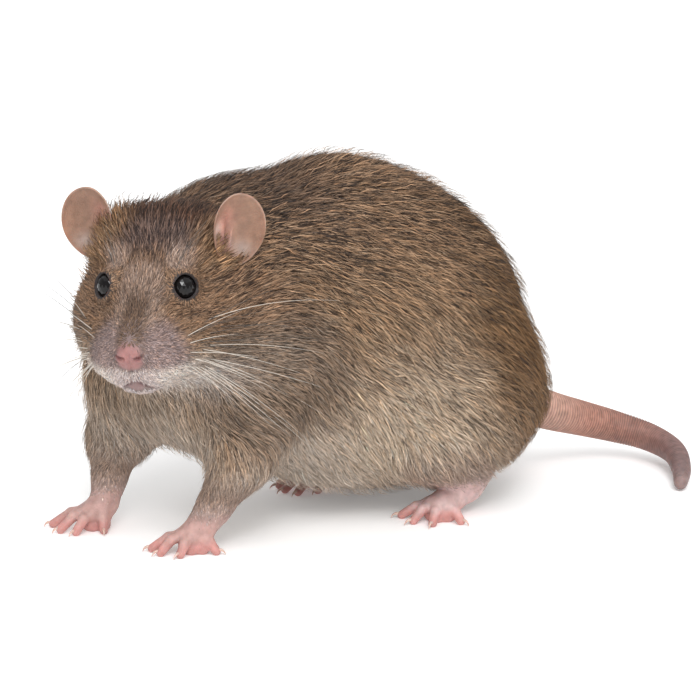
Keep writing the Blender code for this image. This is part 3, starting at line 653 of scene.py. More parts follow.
def tube_shape(line, radii, sides):
    """The corners and faces of a closed round tube along a line of points."""
    line = np.array(line, float)
    ahead = unit(np.gradient(line, axis=0))
    side = unit(np.cross(ahead, (0.03, 0.02, 1.0)))
    upward = np.cross(side, ahead)
    angles = np.arange(sides) * 2 * math.pi / sides
    round_about = side[:, None] * np.cos(angles)[:, None] + upward[:, None] * np.sin(angles)[:, None]
    corners = (line[:, None] + round_about * np.array(radii)[:, None, None]).reshape(-1, 3)
    rings = len(line)
    faces = [tuple(range(sides)), tuple(reversed(range((rings - 1) * sides, rings * sides)))]
    for ring in range(rings - 1):
        for i in range(sides):
            a, b = ring * sides + i, ring * sides + (i + 1) % sides
            faces.append((a, a + sides, b + sides, b))
    return corners, faces


# Skin

HEAD_CUT = (from_head(-18, 0, -5), HEAD_AXES @ np.array([0.9, 0.0, 0.44]))
OVERLAP = 0.4
BODY_VOXEL, HEAD_VOXEL, FOOT_VOXEL = 1.5, 0.42, 0.3
CUFF_SHARE = 0.75  # of the way from the wrist to the elbow, where the fine paw begins
ANKLE_POINT, ANKLE_UP = (0.0, 20.0, 15.0), (0.0, 0.1, 1.0)
SINK = 0.25
EAR_RINGS, EAR_SIDES = 18, 64
EAR_RIM_THICKNESS, EAR_ROOT_THICKNESS = 0.6, 1.3
EAR_TAPER, EAR_ROOT_DEPTH, EAR_CURL = 0.2, 2.0, 0.8
EAR_LOW_CUP = 0.45  # how much deeper the cup is low down, as a share
EAR_RIM_RISE, EAR_RIM_START = 0.22, 0.9  # how far the rim stands out, and where it starts to
EAR_BACK_SPREAD = 0.3
# Each fold in the cup: how far it stands out, its place across the ear and its lean, its half width,
# and the heights between which it fades in, all but the first in half sizes of the ear
EAR_FOLDS = ((2.0, -0.42, -0.25, 0.17, (0.6, -0.3)), (1.5, 0.02, 0.2, 0.12, (0.25, -0.4)))
EAR_FOLDS_START = (-1.0, -0.75)
EAR_HOLLOW = (1.1, -0.2, 0.17, -0.3, 0.3)  # its depth, and its place and half size across the ear and up it
EAR_WAVE = 0.08
TAIL_RING_STEP = 0.95  # from one ring of scales to the next
TAIL_RING_RADII = (0.95, 1.0, 0.99)  # between two rings, on one and behind it, as shares of the tail's
TAIL_END = (0.3, 0.55, 0.75, 0.9, 0.98)  # places along the rounded end, as shares of its radius
TAIL_SIDES = 40
LID_OPENING = (3.6, 3.42)  # half length along the slit, half height
LID_PINCH = 0.22  # how much narrower the slit is towards its corners
LID_SLANT = -14.0  # degrees that the slit drops towards the nose
LID_SIDES = 40
LID_CUT = 9.0  # how far the cutter of the opening reaches
LID_RIM, LID_RIM_SIDES = 0.34, 8
LID_RIM_WIDENING = 0.1
SOCKET_GAP, SOCKET_DETAIL = 0.12, 4
GROOVES_BACK, GROOVES_TOP = 2.0, -6.0  # the grooves are ahead of this place on the head, and below this one


def mirrored(line):
    return tuple((f, -l, u) for f, l, u in line)


MOUTH_SIDE = ((6.0, -10.0, -23.6), (10.0, -8.0, -23.9), (14.0, -5.0, -23.4), (17.0, -2.4, -22.6))
MOUTH_LINE = (*MOUTH_SIDE, (18.2, 0.0, -21.8), *reversed(mirrored(MOUTH_SIDE)))
LIP_PLACE = np.array((17.6, 0.0, -22.6))
PHILTRUM_LINE = (
    (23.4, 0.0, -12.6),
    (23.2, 0.0, -13.6),
    (22.2, 0.0, -15.6),
    (20.4, 0.0, -18.6),
    (18.6, 0.0, -21.2),
)
NOSTRIL_LINE = ((21.2, 3.7, -12.2), (22.2, 3.2, -12.9), (22.9, 2.5, -13.6), (23.2, 1.7, -13.9))
NOSTRIL_FOLD = ((20.4, 4.4, -11.6), (21.0, 4.3, -13.6), (21.8, 3.5, -15.0), (22.4, 2.0, -15.7))
# Each groove: its line in the head's frame, its half width and its depth
GROOVES = [
    (MOUTH_LINE, 0.42, 0.75),
    (PHILTRUM_LINE, 0.36, 0.55),
    *[(line, 0.52, 1.7) for line in (NOSTRIL_LINE, mirrored(NOSTRIL_LINE))],
    *[(line, 0.7, 0.35) for line in (NOSTRIL_FOLD, mirrored(NOSTRIL_FOLD))],
]


def line_distance(line, points):
    """How far points in the head's frame are from a line of places there."""
    nearest = np.full(len(points), FAR)
    line = np.array(line)
    for start, end in zip(line, line[1:]):
        ahead = end - start
        share = np.clip((points - start) @ ahead / (ahead @ ahead), 0, 1)
        nearest = np.minimum(nearest, lengths(points - start - share[:, None] * ahead))
    return nearest


def pressed_in(obj):
    """The head with its grooves: the mouth, the cleft of the upper lip, and the nostrils."""
    points = read_points(obj.data)
    local = in_head(points)
    near = (local[:, 0] > GROOVES_BACK) & (local[:, 2] < GROOVES_TOP)
    _, outward = body_distance(points[near])
    press = np.zeros(near.sum())
    for line, width, depth in GROOVES:
        press = np.maximum(press, depth * np.exp(-((line_distance(line, local[near]) / width) ** 2)))
    points[near] -= outward * press[:, None]
    write_points(obj.data, points)
    return obj


def eye_axes(side):
    """The eye's own axes: along the slit, across it, and out of the eye."""
    axis = unit(HEAD_AXES @ (np.array(EYE_AXIS) * (1, side, 1)))
    level = unit(np.cross(HEAD_AXES[:, 2], axis))
    upward = np.cross(axis, level)
    slant = math.radians(LID_SLANT) * side
    slit = level * math.cos(slant) + upward * math.sin(slant)
    return slit, np.cross(axis, slit), axis


def lid_outline(widen=0.0):
    """The almond between the lids, as pairs along and across the slit."""
    found = []
    for a in np.arange(LID_SIDES) * 2 * math.pi / LID_SIDES:
        pinch = 1 - LID_PINCH * abs(math.cos(a)) ** 3
        length, height = LID_OPENING[0] + widen, LID_OPENING[1] + widen
        found.append((length * math.cos(a), height * math.sin(a) * pinch))
    return np.array(found)


def lid_opening(side):
    """A cutter along the eye's axis, shaped as the almond between the lids."""
    slit, across, axis = eye_axes(side)
    rim = lid_outline() @ np.array([slit, across]) + eye_place(side)
    corners = np.vstack([rim, rim + axis * LID_CUT])
    count = LID_SIDES
    faces = [tuple(reversed(range(count))), tuple(range(count, 2 * count))]
    faces += [(i, (i + 1) % count, count + (i + 1) % count, count + i) for i in range(count)]
    return made("lid_opening", corners, faces)


def lid_rim(side):
    """The bare edge of the lids: a thin ring that lies on the eyeball."""
    slit, across, axis = eye_axes(side)
    flat = lid_outline(LID_RIM_WIDENING)
    rise = np.sqrt((EYE_RADIUS + LID_RIM) ** 2 - (flat ** 2).sum(axis=1))
    ring = eye_place(side) + flat @ np.array([slit, across]) + rise[:, None] * axis
    ahead = unit(np.roll(ring, -1, axis=0) - np.roll(ring, 1, axis=0))
    out = unit(ring - eye_place(side))
    sideways = np.cross(ahead, out)
    corners, faces = [], []
    for a in np.arange(LID_RIM_SIDES) * 2 * math.pi / LID_RIM_SIDES:
        corners.append(ring + LID_RIM * (out * math.cos(a) + sideways * math.sin(a)))
    corners = np.stack(corners, axis=1).reshape(-1, 3)
    for i in range(LID_SIDES):
        one, other = i * LID_RIM_SIDES, (i + 1) % LID_SIDES * LID_RIM_SIDES
        for j in range(LID_RIM_SIDES):
            k = (j + 1) % LID_RIM_SIDES
            faces.append((one + j, one + k, other + k, other + j))
    return made("lid_rim", corners, faces)


def head_skin():
    """The head's skin at a fine scale, with sockets, lids and grooves."""
    masses = SKULL + MUZZLE_PADS + LOWER_LIP + NOSE + LID_MOUNDS + TRUNK[-2:]
    head = flesh("head_skin", masses, HEAD_VOXEL)
    point, normal = HEAD_CUT
    beyond(head, point - unit(normal) * OVERLAP, normal)
    pressed_in(head)
    for side in SIDES:
        socket = ellipsoid(eye_place(side), (EYE_RADIUS + SOCKET_GAP,) * 3)
        combined(head, made("socket", *shape_of(socket, 0, SOCKET_DETAIL)), "DIFFERENCE")
        combined(head, lid_opening(side), "DIFFERENCE")
        combined(head, lid_rim(side), "UNION")
    return head


def paw_skins():
    """The fine skin of each paw and foot, from inside the leg's fur down."""
    found = []
    for side in SIDES:
        paw = flesh("paw_skin", fore_leg(side)[1:] + palm(side) + toes(FORE_TOES[side]), FOOT_VOXEL)
        elbow, wrist = (np.array(place, float) for place in FORE_JOINTS[side][1:3])
        found.append(beyond(paw, wrist + CUFF_SHARE * (elbow - wrist), wrist - elbow))
        foot = flesh("foot_skin", hind_leg(side)[1:] + sole(side) + toes(HIND_TOES[side]), FOOT_VOXEL)
        found.append(beyond(foot, ANKLE_POINT, -np.array(ANKLE_UP)))
    return [above_floor(obj) for obj in found]


def trunk_skin():
    """The skin under the body's fur."""
    masses = TRUNK + HAUNCHES + SHOULDERS + SKULL
    masses += [mass for side in SIDES for mass in fore_leg(side)[:3] + hind_leg(side)[:2]]
    trunk = flesh("trunk_skin", masses, BODY_VOXEL, SINK)
    point, normal = HEAD_CUT
    return beyond(trunk, point + unit(normal) * OVERLAP, -normal)


def ear_axes(side):
    """The ear's axes: across it outward, up it, and out of its cup."""
    _, facing, lean = EAR_SEATS[side]
    facing = unit(HEAD_AXES @ np.array(facing))
    level = unit(np.cross(HEAD_AXES[:, 2], facing)) * side
    upward = np.cross(facing, level) * side
    lean = math.radians(lean)
    across = level * math.cos(lean) - upward * math.sin(lean)
    tall = level * math.sin(lean) + upward * math.cos(lean)
    return across, tall, facing


def ear_middle(side):
    return from_head(*EAR_SEATS[side][0])


def ear_fold(x, z):
    """How far the folds inside the cup stand out, with a hollow beside the ridge up its inner edge."""
    total = 0.0
    for height, place, lean, width, fade in EAR_FOLDS:
        total += height * math.exp(-(((x - place - lean * z) / width) ** 2)) * smooth(*fade, z)
    depth, across, wide, up, high = EAR_HOLLOW
    total -= depth * math.exp(-((x - across) / wide) ** 2 - ((z - up) / high) ** 2)
    return total * smooth(*EAR_FOLDS_START, z) + EAR_WAVE * math.sin(7 * x + 3 * z) * (1 - x * x)


def ear(side):
    """A thin cup, deepest low down, with folds inside it."""
    across, tall, facing = ear_axes(side)
    place = ear_middle(side)
    front, back = [], []
    for ring in range(EAR_RINGS + 1):
        ratio = math.sin(ring / EAR_RINGS * math.pi / 2)
        for i in range(EAR_SIDES if ring else 1):
            a = i * 2 * math.pi / EAR_SIDES
            x, z = ratio * math.cos(a), ratio * math.sin(a)
            width = EAR_HALF_WIDTH * (1 - EAR_TAPER * (1 - z) ** 2 / 4)
            depth = EAR_CUP * (1 - ratio ** 2) * (1 - EAR_LOW_CUP * z) + EAR_ROOT_DEPTH * max(0, -z) ** 2
            thickness = EAR_RIM_THICKNESS + (EAR_ROOT_THICKNESS - EAR_RIM_THICKNESS) * (1 - z) / 2
            curl = EAR_CURL * x * x
            edge = EAR_RIM_RISE * smooth(EAR_RIM_START, 1.0, ratio)
            middle = place + across * x * width + tall * z * EAR_HALF_HEIGHT
            front.append(middle + facing * (curl - depth + ear_fold(x, z) * (1 - ratio ** 4) + edge))
            back.append(middle + facing * (curl - depth - thickness) - across * x * EAR_BACK_SPREAD)
    count = len(front)
    faces = []
    for i in range(EAR_SIDES):
        j = (i + 1) % EAR_SIDES
        faces.append((0, 1 + i, 1 + j))
        faces.append((count, count + 1 + j, count + 1 + i))
        for ring in range(EAR_RINGS - 1):
            a, b = 1 + ring * EAR_SIDES + i, 1 + ring * EAR_SIDES + j
            faces.append((a, a + EAR_SIDES, b + EAR_SIDES, b))
            faces.append((count + b, count + b + EAR_SIDES, count + a + EAR_SIDES, count + a))
        a, b = 1 + (EAR_RINGS - 1) * EAR_SIDES + i, 1 + (EAR_RINGS - 1) * EAR_SIDES + j
        faces.append((a, a + count, b + count, b))
    cup = made("ear", front + back, faces)
    if side == RIGHT:
        cup.data.flip_normals()
    return cup


def tail_rings():
    """The tail's centre line and radii, with three places to each ring of scales."""
    places, _ = along(TAIL_LINE, TAIL_RADII, 400)
    length = lengths(np.diff(places, axis=0)).sum()
    return along(TAIL_LINE, TAIL_RADII, int(length / TAIL_RING_STEP) * 3 + 1)


def tail():
    """The tail with its rings of scales and its blunt, healed end."""
    places, radii = tail_rings()
    radii = radii * np.array(TAIL_RING_RADII)[np.arange(len(places)) % 3]
    step = unit(places[-1] - places[-2])
    places = np.vstack([places] + [places[-1] + step * radii[-1] * share for share in TAIL_END])
    radii = np.concatenate([radii, [radii[-1] * math.sqrt(1 - share ** 2) for share in TAIL_END]])
    return above_floor(made("tail", *tube_shape(places, radii, TAIL_SIDES)))


def in_ear(points, side):
    """Places across and up an ear, in half sizes of it, and how far they are out of its cup."""
    across, tall, facing = ear_axes(side)
    away = points - ear_middle(side)
    return away @ across / EAR_HALF_WIDTH, away @ tall / EAR_HALF_HEIGHT, away @ facing


def skin():
    """The whole skin as one closed surface."""
    whole = head_skin()
    whole.name = "skin"
    for part in [trunk_skin(), *paw_skins(), tail(), ear(LEFT), ear(RIGHT)]:
        combined(whole, part, "UNION")
    return whole


# Colours, as linear red, green and blue

NOSE_SKIN_SHIFT = (0.8, 0, -0.7)
NOSE_PINK = (0.33, 0.16, 0.15)
LID_DARK = (0.026, 0.018, 0.017)
MUZZLE_MAUVE = (0.20, 0.14, 0.13)
PAW_PINK = (0.48, 0.295, 0.265)
HIND_PINK = (0.60, 0.42, 0.40)
TOE_PINK = (0.52, 0.25, 0.225)
EAR_TAN = (0.30, 0.175, 0.12)
# The ear's rim: partly its own pale thin edge and partly painted rim light.
EAR_PALE_RIM_AND_RIM_LIGHT = (0.50, 0.34, 0.27)
# The nostrils: partly their dark red lining and partly painted shade in the openings.
NOSTRIL_RED_AND_SHADE = (0.11, 0.025, 0.025)
MOUTH_MAUVE = (0.10, 0.045, 0.045)
LIP_MAUVE = (0.25, 0.155, 0.15)
FUR_SKIN = (0.10, 0.072, 0.055)
PALE_SKIN = (0.30, 0.24, 0.20)
TAIL_COLOURS = (  # each with its share of the way along the tail
    (0.0, (0.49, 0.315, 0.25)),
    (0.28, (0.36, 0.18, 0.135)),
    (0.5, (0.24, 0.115, 0.088)),
    (0.72, (0.19, 0.11, 0.10)),
    (0.94, (0.19, 0.125, 0.12)),
    (0.975, (0.21, 0.14, 0.13)),
)
# The darker tone between two rings is partly the skin between the scales and partly painted shade in the
# groove.
RING_AND_GROOVE_SHADE_TONES = (1.14, 0.64)  # on a ring of scales, and between two
BELLY_LOW, BELLY_UNDER = 0.62, 0.55  # how much height and facing down each make a place the belly
EAR_BOUNDS = (1.3, 1.2, 9.0)  # across and up an ear in half sizes, and out of it in millimetres
EAR_OFF = 0.2  # how far out of the smooth surface an ear begins
CUP_EDGE, CUP_BACK = 0.97, -5.0
UNDER_EAR = (0.95, -0.55, -3.0, 7.0)  # round the cup, how far inward, and the middle and reach outward
# Colours inside the materials
EYE_BLACK, EYE_BROWN = (0.0035, 0.003, 0.0035, 1.0), (0.007, 0.0055, 0.005, 1.0)
CLAW_PINK, CLAW_PALE = (0.56, 0.36, 0.30, 1.0), (0.68, 0.52, 0.45, 1.0)
WHISKER_DARK, WHISKER_PALE = (0.035, 0.028, 0.024, 1.0), (0.72, 0.66, 0.58, 1.0)
# The colours inside an ear: the middle and half size of each patch, across it and up it, and its colour.
# Beside the ear's own pink and greyish tones they hold a painted highlight on the inner edge, painted shade
# in the mauve-pink hollow and a painted highlight along the lower fold.
EAR_PATCHES_WITH_PAINTED_LIGHT = (
    ((-0.35, 0.15), (0.52, 0.60), (0.50, 0.245, 0.19)),
    # a painted highlight along the inner edge of the cup
    ((-0.70, -0.05), (0.22, 0.28), (0.55, 0.40, 0.34)),
    # the mauve-pink hollow: partly its own colour and partly painted shade
    ((-0.30, -0.38), (0.28, 0.34), (0.22, 0.09, 0.095)),
    # a painted highlight along the lower fold
    ((0.02, -0.45), (0.12, 0.32), (0.55, 0.37, 0.34)),
    ((0.42, -0.50), (0.38, 0.28), (0.35, 0.26, 0.22)),
)


def mixed(one, other, share):
    return np.asarray(one) * (1 - share)[:, None] + np.asarray(other) * share[:, None]


def layered(base, zones, count):
    """A base colour at each of so many points, with each zone's colour laid over it in turn."""
    tone = np.tile(base, (count, 1))
    for colour, share in zones:
        tone = mixed(tone, colour, share)
    return tone


def nose_distance(local):
    """How far points in the head's frame are from the middle of the nose's bare skin."""
    return lengths(local - np.array(NOSE_CENTRE) - NOSE_SKIN_SHIFT)


def bellyness(points, outward):
    """1 under the body, 0 on its back."""
    low = smooth(52, 18, points[:, 2] + 4 * noise(points, 9, 5))
    under = smooth(0.35, -0.55, outward[:, 2])
    return np.clip(BELLY_LOW * low + BELLY_UNDER * under * smooth(70, 40, points[:, 2]), 0, 1)


def tail_place(points):
    """How far along the tail each point is, from 0 to 1, and whether it lies between two rings of scales."""
    line, _ = tail_rings()
    nearest = lengths(points[:, None] - line[None]).argmin(axis=1)
    return nearest / (len(line) - 1), (nearest % 3 == 0) & (nearest < len(line) - 1)


def tail_colours(points):
    """The tail's colour at each point on it, with darker lines between its rings: partly the skin between
    the scales and partly painted shade in the grooves there.
    """
    where, between = tail_place(points)
    stops, tones = zip(*TAIL_COLOURS)
    found = np.stack([np.interp(where, stops, channel) for channel in zip(*tones)], axis=1)
    # Between two rings the tail is darker: partly its skin there and partly painted shade in the groove.
    light = np.where(between, RING_AND_GROOVE_SHADE_TONES[1], RING_AND_GROOVE_SHADE_TONES[0]) + 0.24 * noise(points, 1.0, 8)
    return found * light[:, None]


def ear_colours(points, side, off):
    """Which points are on this ear, and the colour at each, with painted highlights and painted shade inside
    its cup and a rim that is partly painted rim light.
    """
    x, z, out = in_ear(points, side)
    here = (off > EAR_OFF) & np.all(np.abs(np.column_stack([x, z, out])) < EAR_BOUNDS, axis=1)
    from_middle = np.hypot(x, z)
    inside = (out > CUP_BACK) & (from_middle < CUP_EDGE)
    zones = []
    for (patch_x, patch_z), (wide, high), colour in EAR_PATCHES_WITH_PAINTED_LIGHT:
        share = np.exp(-2 * (((x - patch_x) / wide) ** 2 + ((z - patch_z) / high) ** 2))
        zones.append((colour, share * inside))
    # the pale rim: partly the ear's own edge and partly painted rim light
    zones.append((EAR_PALE_RIM_AND_RIM_LIGHT, 0.7 * smooth(0.93, 0.99, from_middle)))
    return here, layered(EAR_TAN, zones, len(points))


def skin_colours(points):
    """The skin's colour at each point.

    Each zone fades in between the two places or distances that smooth is given first.
    """
    distance, outward = body_distance(points)
    local = in_head(points)
    z = points[:, 2]
    head = headness(points)
    bare = legness(points) * smooth(17, 8, z)
    nostril = np.min([line_distance(line, local) for line in (NOSTRIL_LINE, mirrored(NOSTRIL_LINE))], axis=0)
    zones = (
        (PALE_SKIN, bellyness(points, outward)),
        (MUZZLE_MAUVE, smooth(2, 16, local[:, 0]) * head),
        (PAW_PINK, bare),
        (HIND_PINK, bare * (points[:, 1] > MIDDLE)),
        (TOE_PINK, bare * smooth(5.5, 2.0, z + 0.6 * noise(points, 2.5, 6))),
        (NOSE_PINK, smooth(4.7, 3.3, nose_distance(local))),
        # the nostrils: partly dark red lining and partly painted shade in the openings
        (NOSTRIL_RED_AND_SHADE, 0.95 * smooth(0.85, 0.35, nostril) * head),
        (LIP_MAUVE, 0.9 * smooth(3.4, 2.0, lengths(local - LIP_PLACE))),
        (MOUTH_MAUVE, 0.9 * smooth(0.9, 0.3, line_distance(MOUTH_LINE, local)) * head),
        (LID_DARK, smooth(1.35, 1.15, lid_ratio(points))),
    )
    colours = layered(FUR_SKIN, zones, len(points))
    on_tail = smooth(9.0, 7.5, tail_distance(points)) * smooth(52, 60, points[:, 1])
    tail_skin = on_tail > 0
    colours[tail_skin] = mixed(colours[tail_skin], tail_colours(points[tail_skin]), on_tail[tail_skin])
    for side in SIDES:
        here, tone = ear_colours(points, side, distance + coat_depth(points))
        colours[here] = tone[here]
    return colours


# Node materials

class Nodes:
    """A material's node tree with short calls to add and link nodes."""

    def __init__(self, name):
        self.material = bpy.data.materials.new(name)
        self.material.use_nodes = True
        self.tree = self.material.node_tree
        self.shader = self.tree.nodes["Principled BSDF"]

    def node(self, kind, inputs=None, **settings):
        node = self.tree.nodes.new("ShaderNode" + kind)
        for key, value in settings.items():
            setattr(node, key, value)
        for key, value in (inputs or {}).items():
            self.set(node.inputs[key], value)
        return node

    def set(self, socket, value):
        if isinstance(value, bpy.types.NodeSocket):
            self.tree.links.new(value, socket)
        else:
            socket.default_value = value

    def shade(self, **values):
        """Sets the shader's sockets, named with underscores for spaces."""
        for key, value in values.items():
            self.set(self.shader.inputs[key.replace("_", " ")], value)

    def attribute(self, name, output="Fac"):
        return self.node("Attribute", attribute_name=name).outputs[output]

    def place(self):
        return self.node("TexCoord").outputs["Object"]

    def value_noise(self, scale, detail):
        sockets = {"Scale": scale, "Detail": detail, "Vector": self.place()}
        return self.node("TexNoise", sockets).outputs["Fac"]

    def grain(self, scale, detail, low, high, edges=(0.3, 0.7)):
        """Noise that varies between two values."""
        return self.ranged(self.value_noise(scale, detail), *edges, low, high)

    def grey(self, tone):
        return self.node("CombineColor", {"Red": tone, "Green": tone, "Blue": tone}).outputs["Color"]

    def toned(self, colour, tone):
        """A colour made lighter or darker by a factor."""
        return self.mix(1.0, colour, self.grey(tone), "MULTIPLY")

    def ranged(self, value, low, high, new_low, new_high):
        sockets = {"Value": value, "From Min": low, "From Max": high, "To Min": new_low, "To Max": new_high}
        return self.node("MapRange", sockets).outputs["Result"]

    def mix(self, share, one, other, blend="MIX"):
        node = self.node("Mix", data_type="RGBA", blend_type=blend)
        self.set(node.inputs[0], share)
        self.set(node.inputs[6], one)
        self.set(node.inputs[7], other)
        return node.outputs[2]

    def math(self, operation, one, other=0.0):
        return self.node("Math", {0: one, 1: other}, operation=operation).outputs[0]

    def bump(self, height, strength, distance):
        sockets = {"Height": height, "Strength": strength, "Distance": distance}
        return self.node("Bump", sockets).outputs["Normal"]


MOTTLE = (0.82, 1.15)  # how dark and how light it makes the skin


def skin_material():
    """Bare skin: its colour from its place on the body, mottled and finely wrinkled."""
    n = Nodes("skin")
    mottle = n.grain(420.0, 4.0, *MOTTLE)
    blotch = n.grain(90.0, 2.0, 0.93, 1.08)
    colour = n.toned(n.attribute("colour", "Color"), n.math("MULTIPLY", mottle, blotch))
    cells = n.node("TexVoronoi", {"Scale": 1500.0, "Vector": n.place()}, feature="DISTANCE_TO_EDGE")
    crease = n.ranged(cells.outputs["Distance"], 0.0, 0.25, 0.0, 1.0)
    height = n.math("ADD", crease, n.value_noise(2600.0, 3.0))
    n.shade(
        Base_Color=colour,
        Roughness=n.ranged(mottle, *MOTTLE, 0.42, 0.58),
        Normal=n.bump(height, 0.35, 0.00012),
        Subsurface_Weight=0.22,
        Subsurface_Scale=0.0012,
        Subsurface_Radius=(1.0, 0.35, 0.2),
        Specular_IOR_Level=0.45,
    )
    return n.material


ROOT_GREY, ROOT_SHARE = (0.045, 0.032, 0.025, 1.0), 0.6  # the share of grey in a hair's root
BAND_EDGE = (0.12, 0.42)  # where along a hair its root turns into its band
TIP_EDGE = 0.16  # over which its band turns into its tip


def coat_material():
    """Fur: a grey base, a paler band and a dark tip on each tuft, with its own tone."""
    n = Nodes("coat")
    reach = n.attribute("reach")
    band = n.attribute("band", "Color")
    tip = n.attribute("tip", "Color")
    start = n.attribute("tip_start")
    root = n.mix(ROOT_SHARE, band, ROOT_GREY)
    body = n.mix(n.ranged(reach, *BAND_EDGE, 0.0, 1.0), root, band)
    over = n.math("DIVIDE", n.math("SUBTRACT", reach, start), TIP_EDGE)
    share = n.node("Clamp", {"Value": over}).outputs[0]
    colour = n.toned(n.mix(share, body, tip), n.grain(900.0, 2.0, 0.88, 1.1))
    n.shade(Base_Color=colour, Roughness=0.55, Specular_IOR_Level=0.2)
    return n.material


def eye_material():
    """Wet black with a faint brown depth."""
    n = Nodes("eye")
    depth = n.grain(500.0, 2.0, 0.0, 1.0, (0.35, 0.65))
    colour = n.mix(depth, EYE_BLACK, EYE_BROWN)
    n.shade(Base_Color=colour, Roughness=0.03, Specular_IOR_Level=0.32)
    return n.material


def claw_material():
    """Pale horn, streaked with pink."""
    n = Nodes("claw")
    streak = n.grain(1200.0, 2.0, 0.0, 1.0)
    colour = n.mix(streak, CLAW_PINK, CLAW_PALE)
    n.shade(Base_Color=colour, Roughness=0.3, Subsurface_Weight=0.2, Subsurface_Scale=0.0006)
    return n.material


def whisker_material():
    """Stiff hair: dark or pale by its own tone, with a faint grain."""
    n = Nodes("whisker")
    colour = n.mix(n.attribute("tone"), WHISKER_DARK, WHISKER_PALE)
    n.shade(Base_Color=n.toned(colour, n.grain(700.0, 1.0, 0.9, 1.05)), Roughness=0.35)
    return n.material


def floor_material():
    """A smooth white table lit from below, with a trace of unevenness."""
    n = Nodes("floor")
    n.shade(
        Base_Color=n.grey(n.grain(3.0, 1.0, 0.94, 0.955)),
        Roughness=0.7,
        Specular_IOR_Level=0.2,
        Emission_Color=WHITE,
        Emission_Strength=FLOOR_GLOW,
    )
    return n.material


# Coat

def swung(way, outward, degrees):
    """Each way turned about its own outward direction."""
    angle = np.radians(degrees)
    return way * np.cos(angle)[:, None] + np.cross(outward, way) * np.sin(angle)[:, None]


# How steeply the trunk's hair falls: on the back, added on the flank, and added at the rump
FALL, FLANK_FALL, RUMP_FALL = 0.45, 0.55, 1.6
LEG_WAY = (0.0, -0.25, -1.0)
PARTING = (21.0, 0.0, -9.0)  # on the nose: the head's hair spreads back from here
EYE_SWEEP, EYE_SWEEP_EDGE = 0.8, (4.5, 1.0)  # how fully hair by an eye points away from it, and how far off
SWIRL = 14.0  # degrees that the lie of the hair wanders, once broadly and once finely


def lie_of(points, outward):
    """Which way the hair lies, along the skin."""
    y, z = points[:, 1], points[:, 2]
    fall = FALL + FLANK_FALL * smooth(90, 50, z) + RUMP_FALL * smooth(25, 62, y)
    trunk = np.column_stack([np.zeros(len(points)), np.ones(len(points)), -fall])
    way = mixed(unit(trunk), unit(points - from_head(*PARTING)), headness(points))
    legs = legness(points) * smooth(40, 22, z) * (y < MIDDLE)
    way = mixed(unit(way), unit(np.array(LEG_WAY)), legs)
    for side in SIDES:
        from_eye = points - eye_place(side)
        share = EYE_SWEEP * smooth(*np.add(EYE_RADIUS, EYE_SWEEP_EDGE), lengths(from_eye))
        way = mixed(unit(way), unit(from_eye), share)
    way -= outward * (way * outward).sum(axis=1)[:, None]
    way = unit(way)
    return swung(way, outward, SWIRL * noise(points, 13, 1) + SWIRL * noise(points, 3.2, 2))


LONG_COAT = 7.6
# Places along the head, and the hair's length at each
HEAD_LENGTHS = ((-26, -12, -2, 8, 16, 21), (6.8, 5.2, 4.0, 3.2, 2.4, 1.4))
LEG_LENGTHS = (1.3, 8.0)  # where a leg is bare, and how much is added where its fur is full
LID_SHARES = (0.4, 0.6)  # of the hair's length at the lids, and added away from them
LOW_SHARES = (0.8, 0.2)  # of it low on the body, and added higher up


def coat_length(points):
    """How long the hair is."""
    f = in_head(points)[:, 0]
    by_lids = LID_SHARES[0] + LID_SHARES[1] * smooth(1.0, 2.4, lid_ratio(points))
    head = np.interp(f, *HEAD_LENGTHS) * by_lids
    share = headness(points)
    body = LONG_COAT * (LOW_SHARES[0] + LOW_SHARES[1] * smooth(20, 60, points[:, 2]))
    length = body * (1 - share) + head * share
    leg = np.minimum(length, LEG_LENGTHS[0] + LEG_LENGTHS[1] * leg_fur(points))
    share = legness(points)
    return length * (1 - share) + leg * share


def coat_cover(points):
    """How fully hair covers the skin, from 0 to 1: each bare place ends between two distances."""
    local = in_head(points)
    nose = smooth(3.5, 5.0, nose_distance(local))
    eyes = smooth(0.98, 1.05, lid_ratio(points))
    bare = legness(points) * smooth(19.0, 8.5, points[:, 2])
    mouth = smooth(0.5, 1.1, line_distance(MOUTH_LINE, local))
    lip = smooth(1.9, 3.0, lengths(local - LIP_PLACE))
    return nose * eyes * mouth * lip * (1 - bare) * ~under_ear(points)


def under_ear(points):
    """Whether hair from here would grow through the cup of an ear."""
    found = np.zeros(len(points), bool)
    for side in SIDES:
        x, z, out = in_ear(points, side)
        edge, inward, middle, reach = UNDER_EAR
        found |= (np.hypot(x, z) < edge) & (x > inward) & (np.abs(out - middle) < reach)
    return found


# Fur colours: the pale band and the dark tip of each part of the coat
BACK = ((0.405, 0.250, 0.150), (0.045, 0.030, 0.023))
NAPE = ((0.245, 0.152, 0.098), (0.035, 0.024, 0.020))
RUMP = ((0.215, 0.116, 0.052), (0.034, 0.020, 0.013))
FLANK = ((0.400, 0.256, 0.152), (0.070, 0.046, 0.031))
HAUNCH = ((0.580, 0.450, 0.330), (0.150, 0.110, 0.080))
SHOULDER = ((0.262, 0.185, 0.132), (0.055, 0.039, 0.031))
BELLY = ((0.530, 0.435, 0.355), (0.250, 0.195, 0.150))
FOREHEAD = ((0.205, 0.132, 0.106), (0.036, 0.024, 0.022))
CROWN = ((0.105, 0.051, 0.031), (0.018, 0.010, 0.007))
CHEEK = ((0.325, 0.197, 0.120), (0.068, 0.042, 0.030))
EAR_BASE = ((0.410, 0.245, 0.130), (0.140, 0.080, 0.045))
LIPS = ((0.700, 0.610, 0.550), (0.420, 0.350, 0.315))
CHIN = ((0.540, 0.450, 0.425), (0.350, 0.275, 0.260))
MAUVE = ((0.325, 0.235, 0.215), (0.150, 0.105, 0.098))
BROW = ((0.470, 0.335, 0.265), (0.210, 0.150, 0.125))
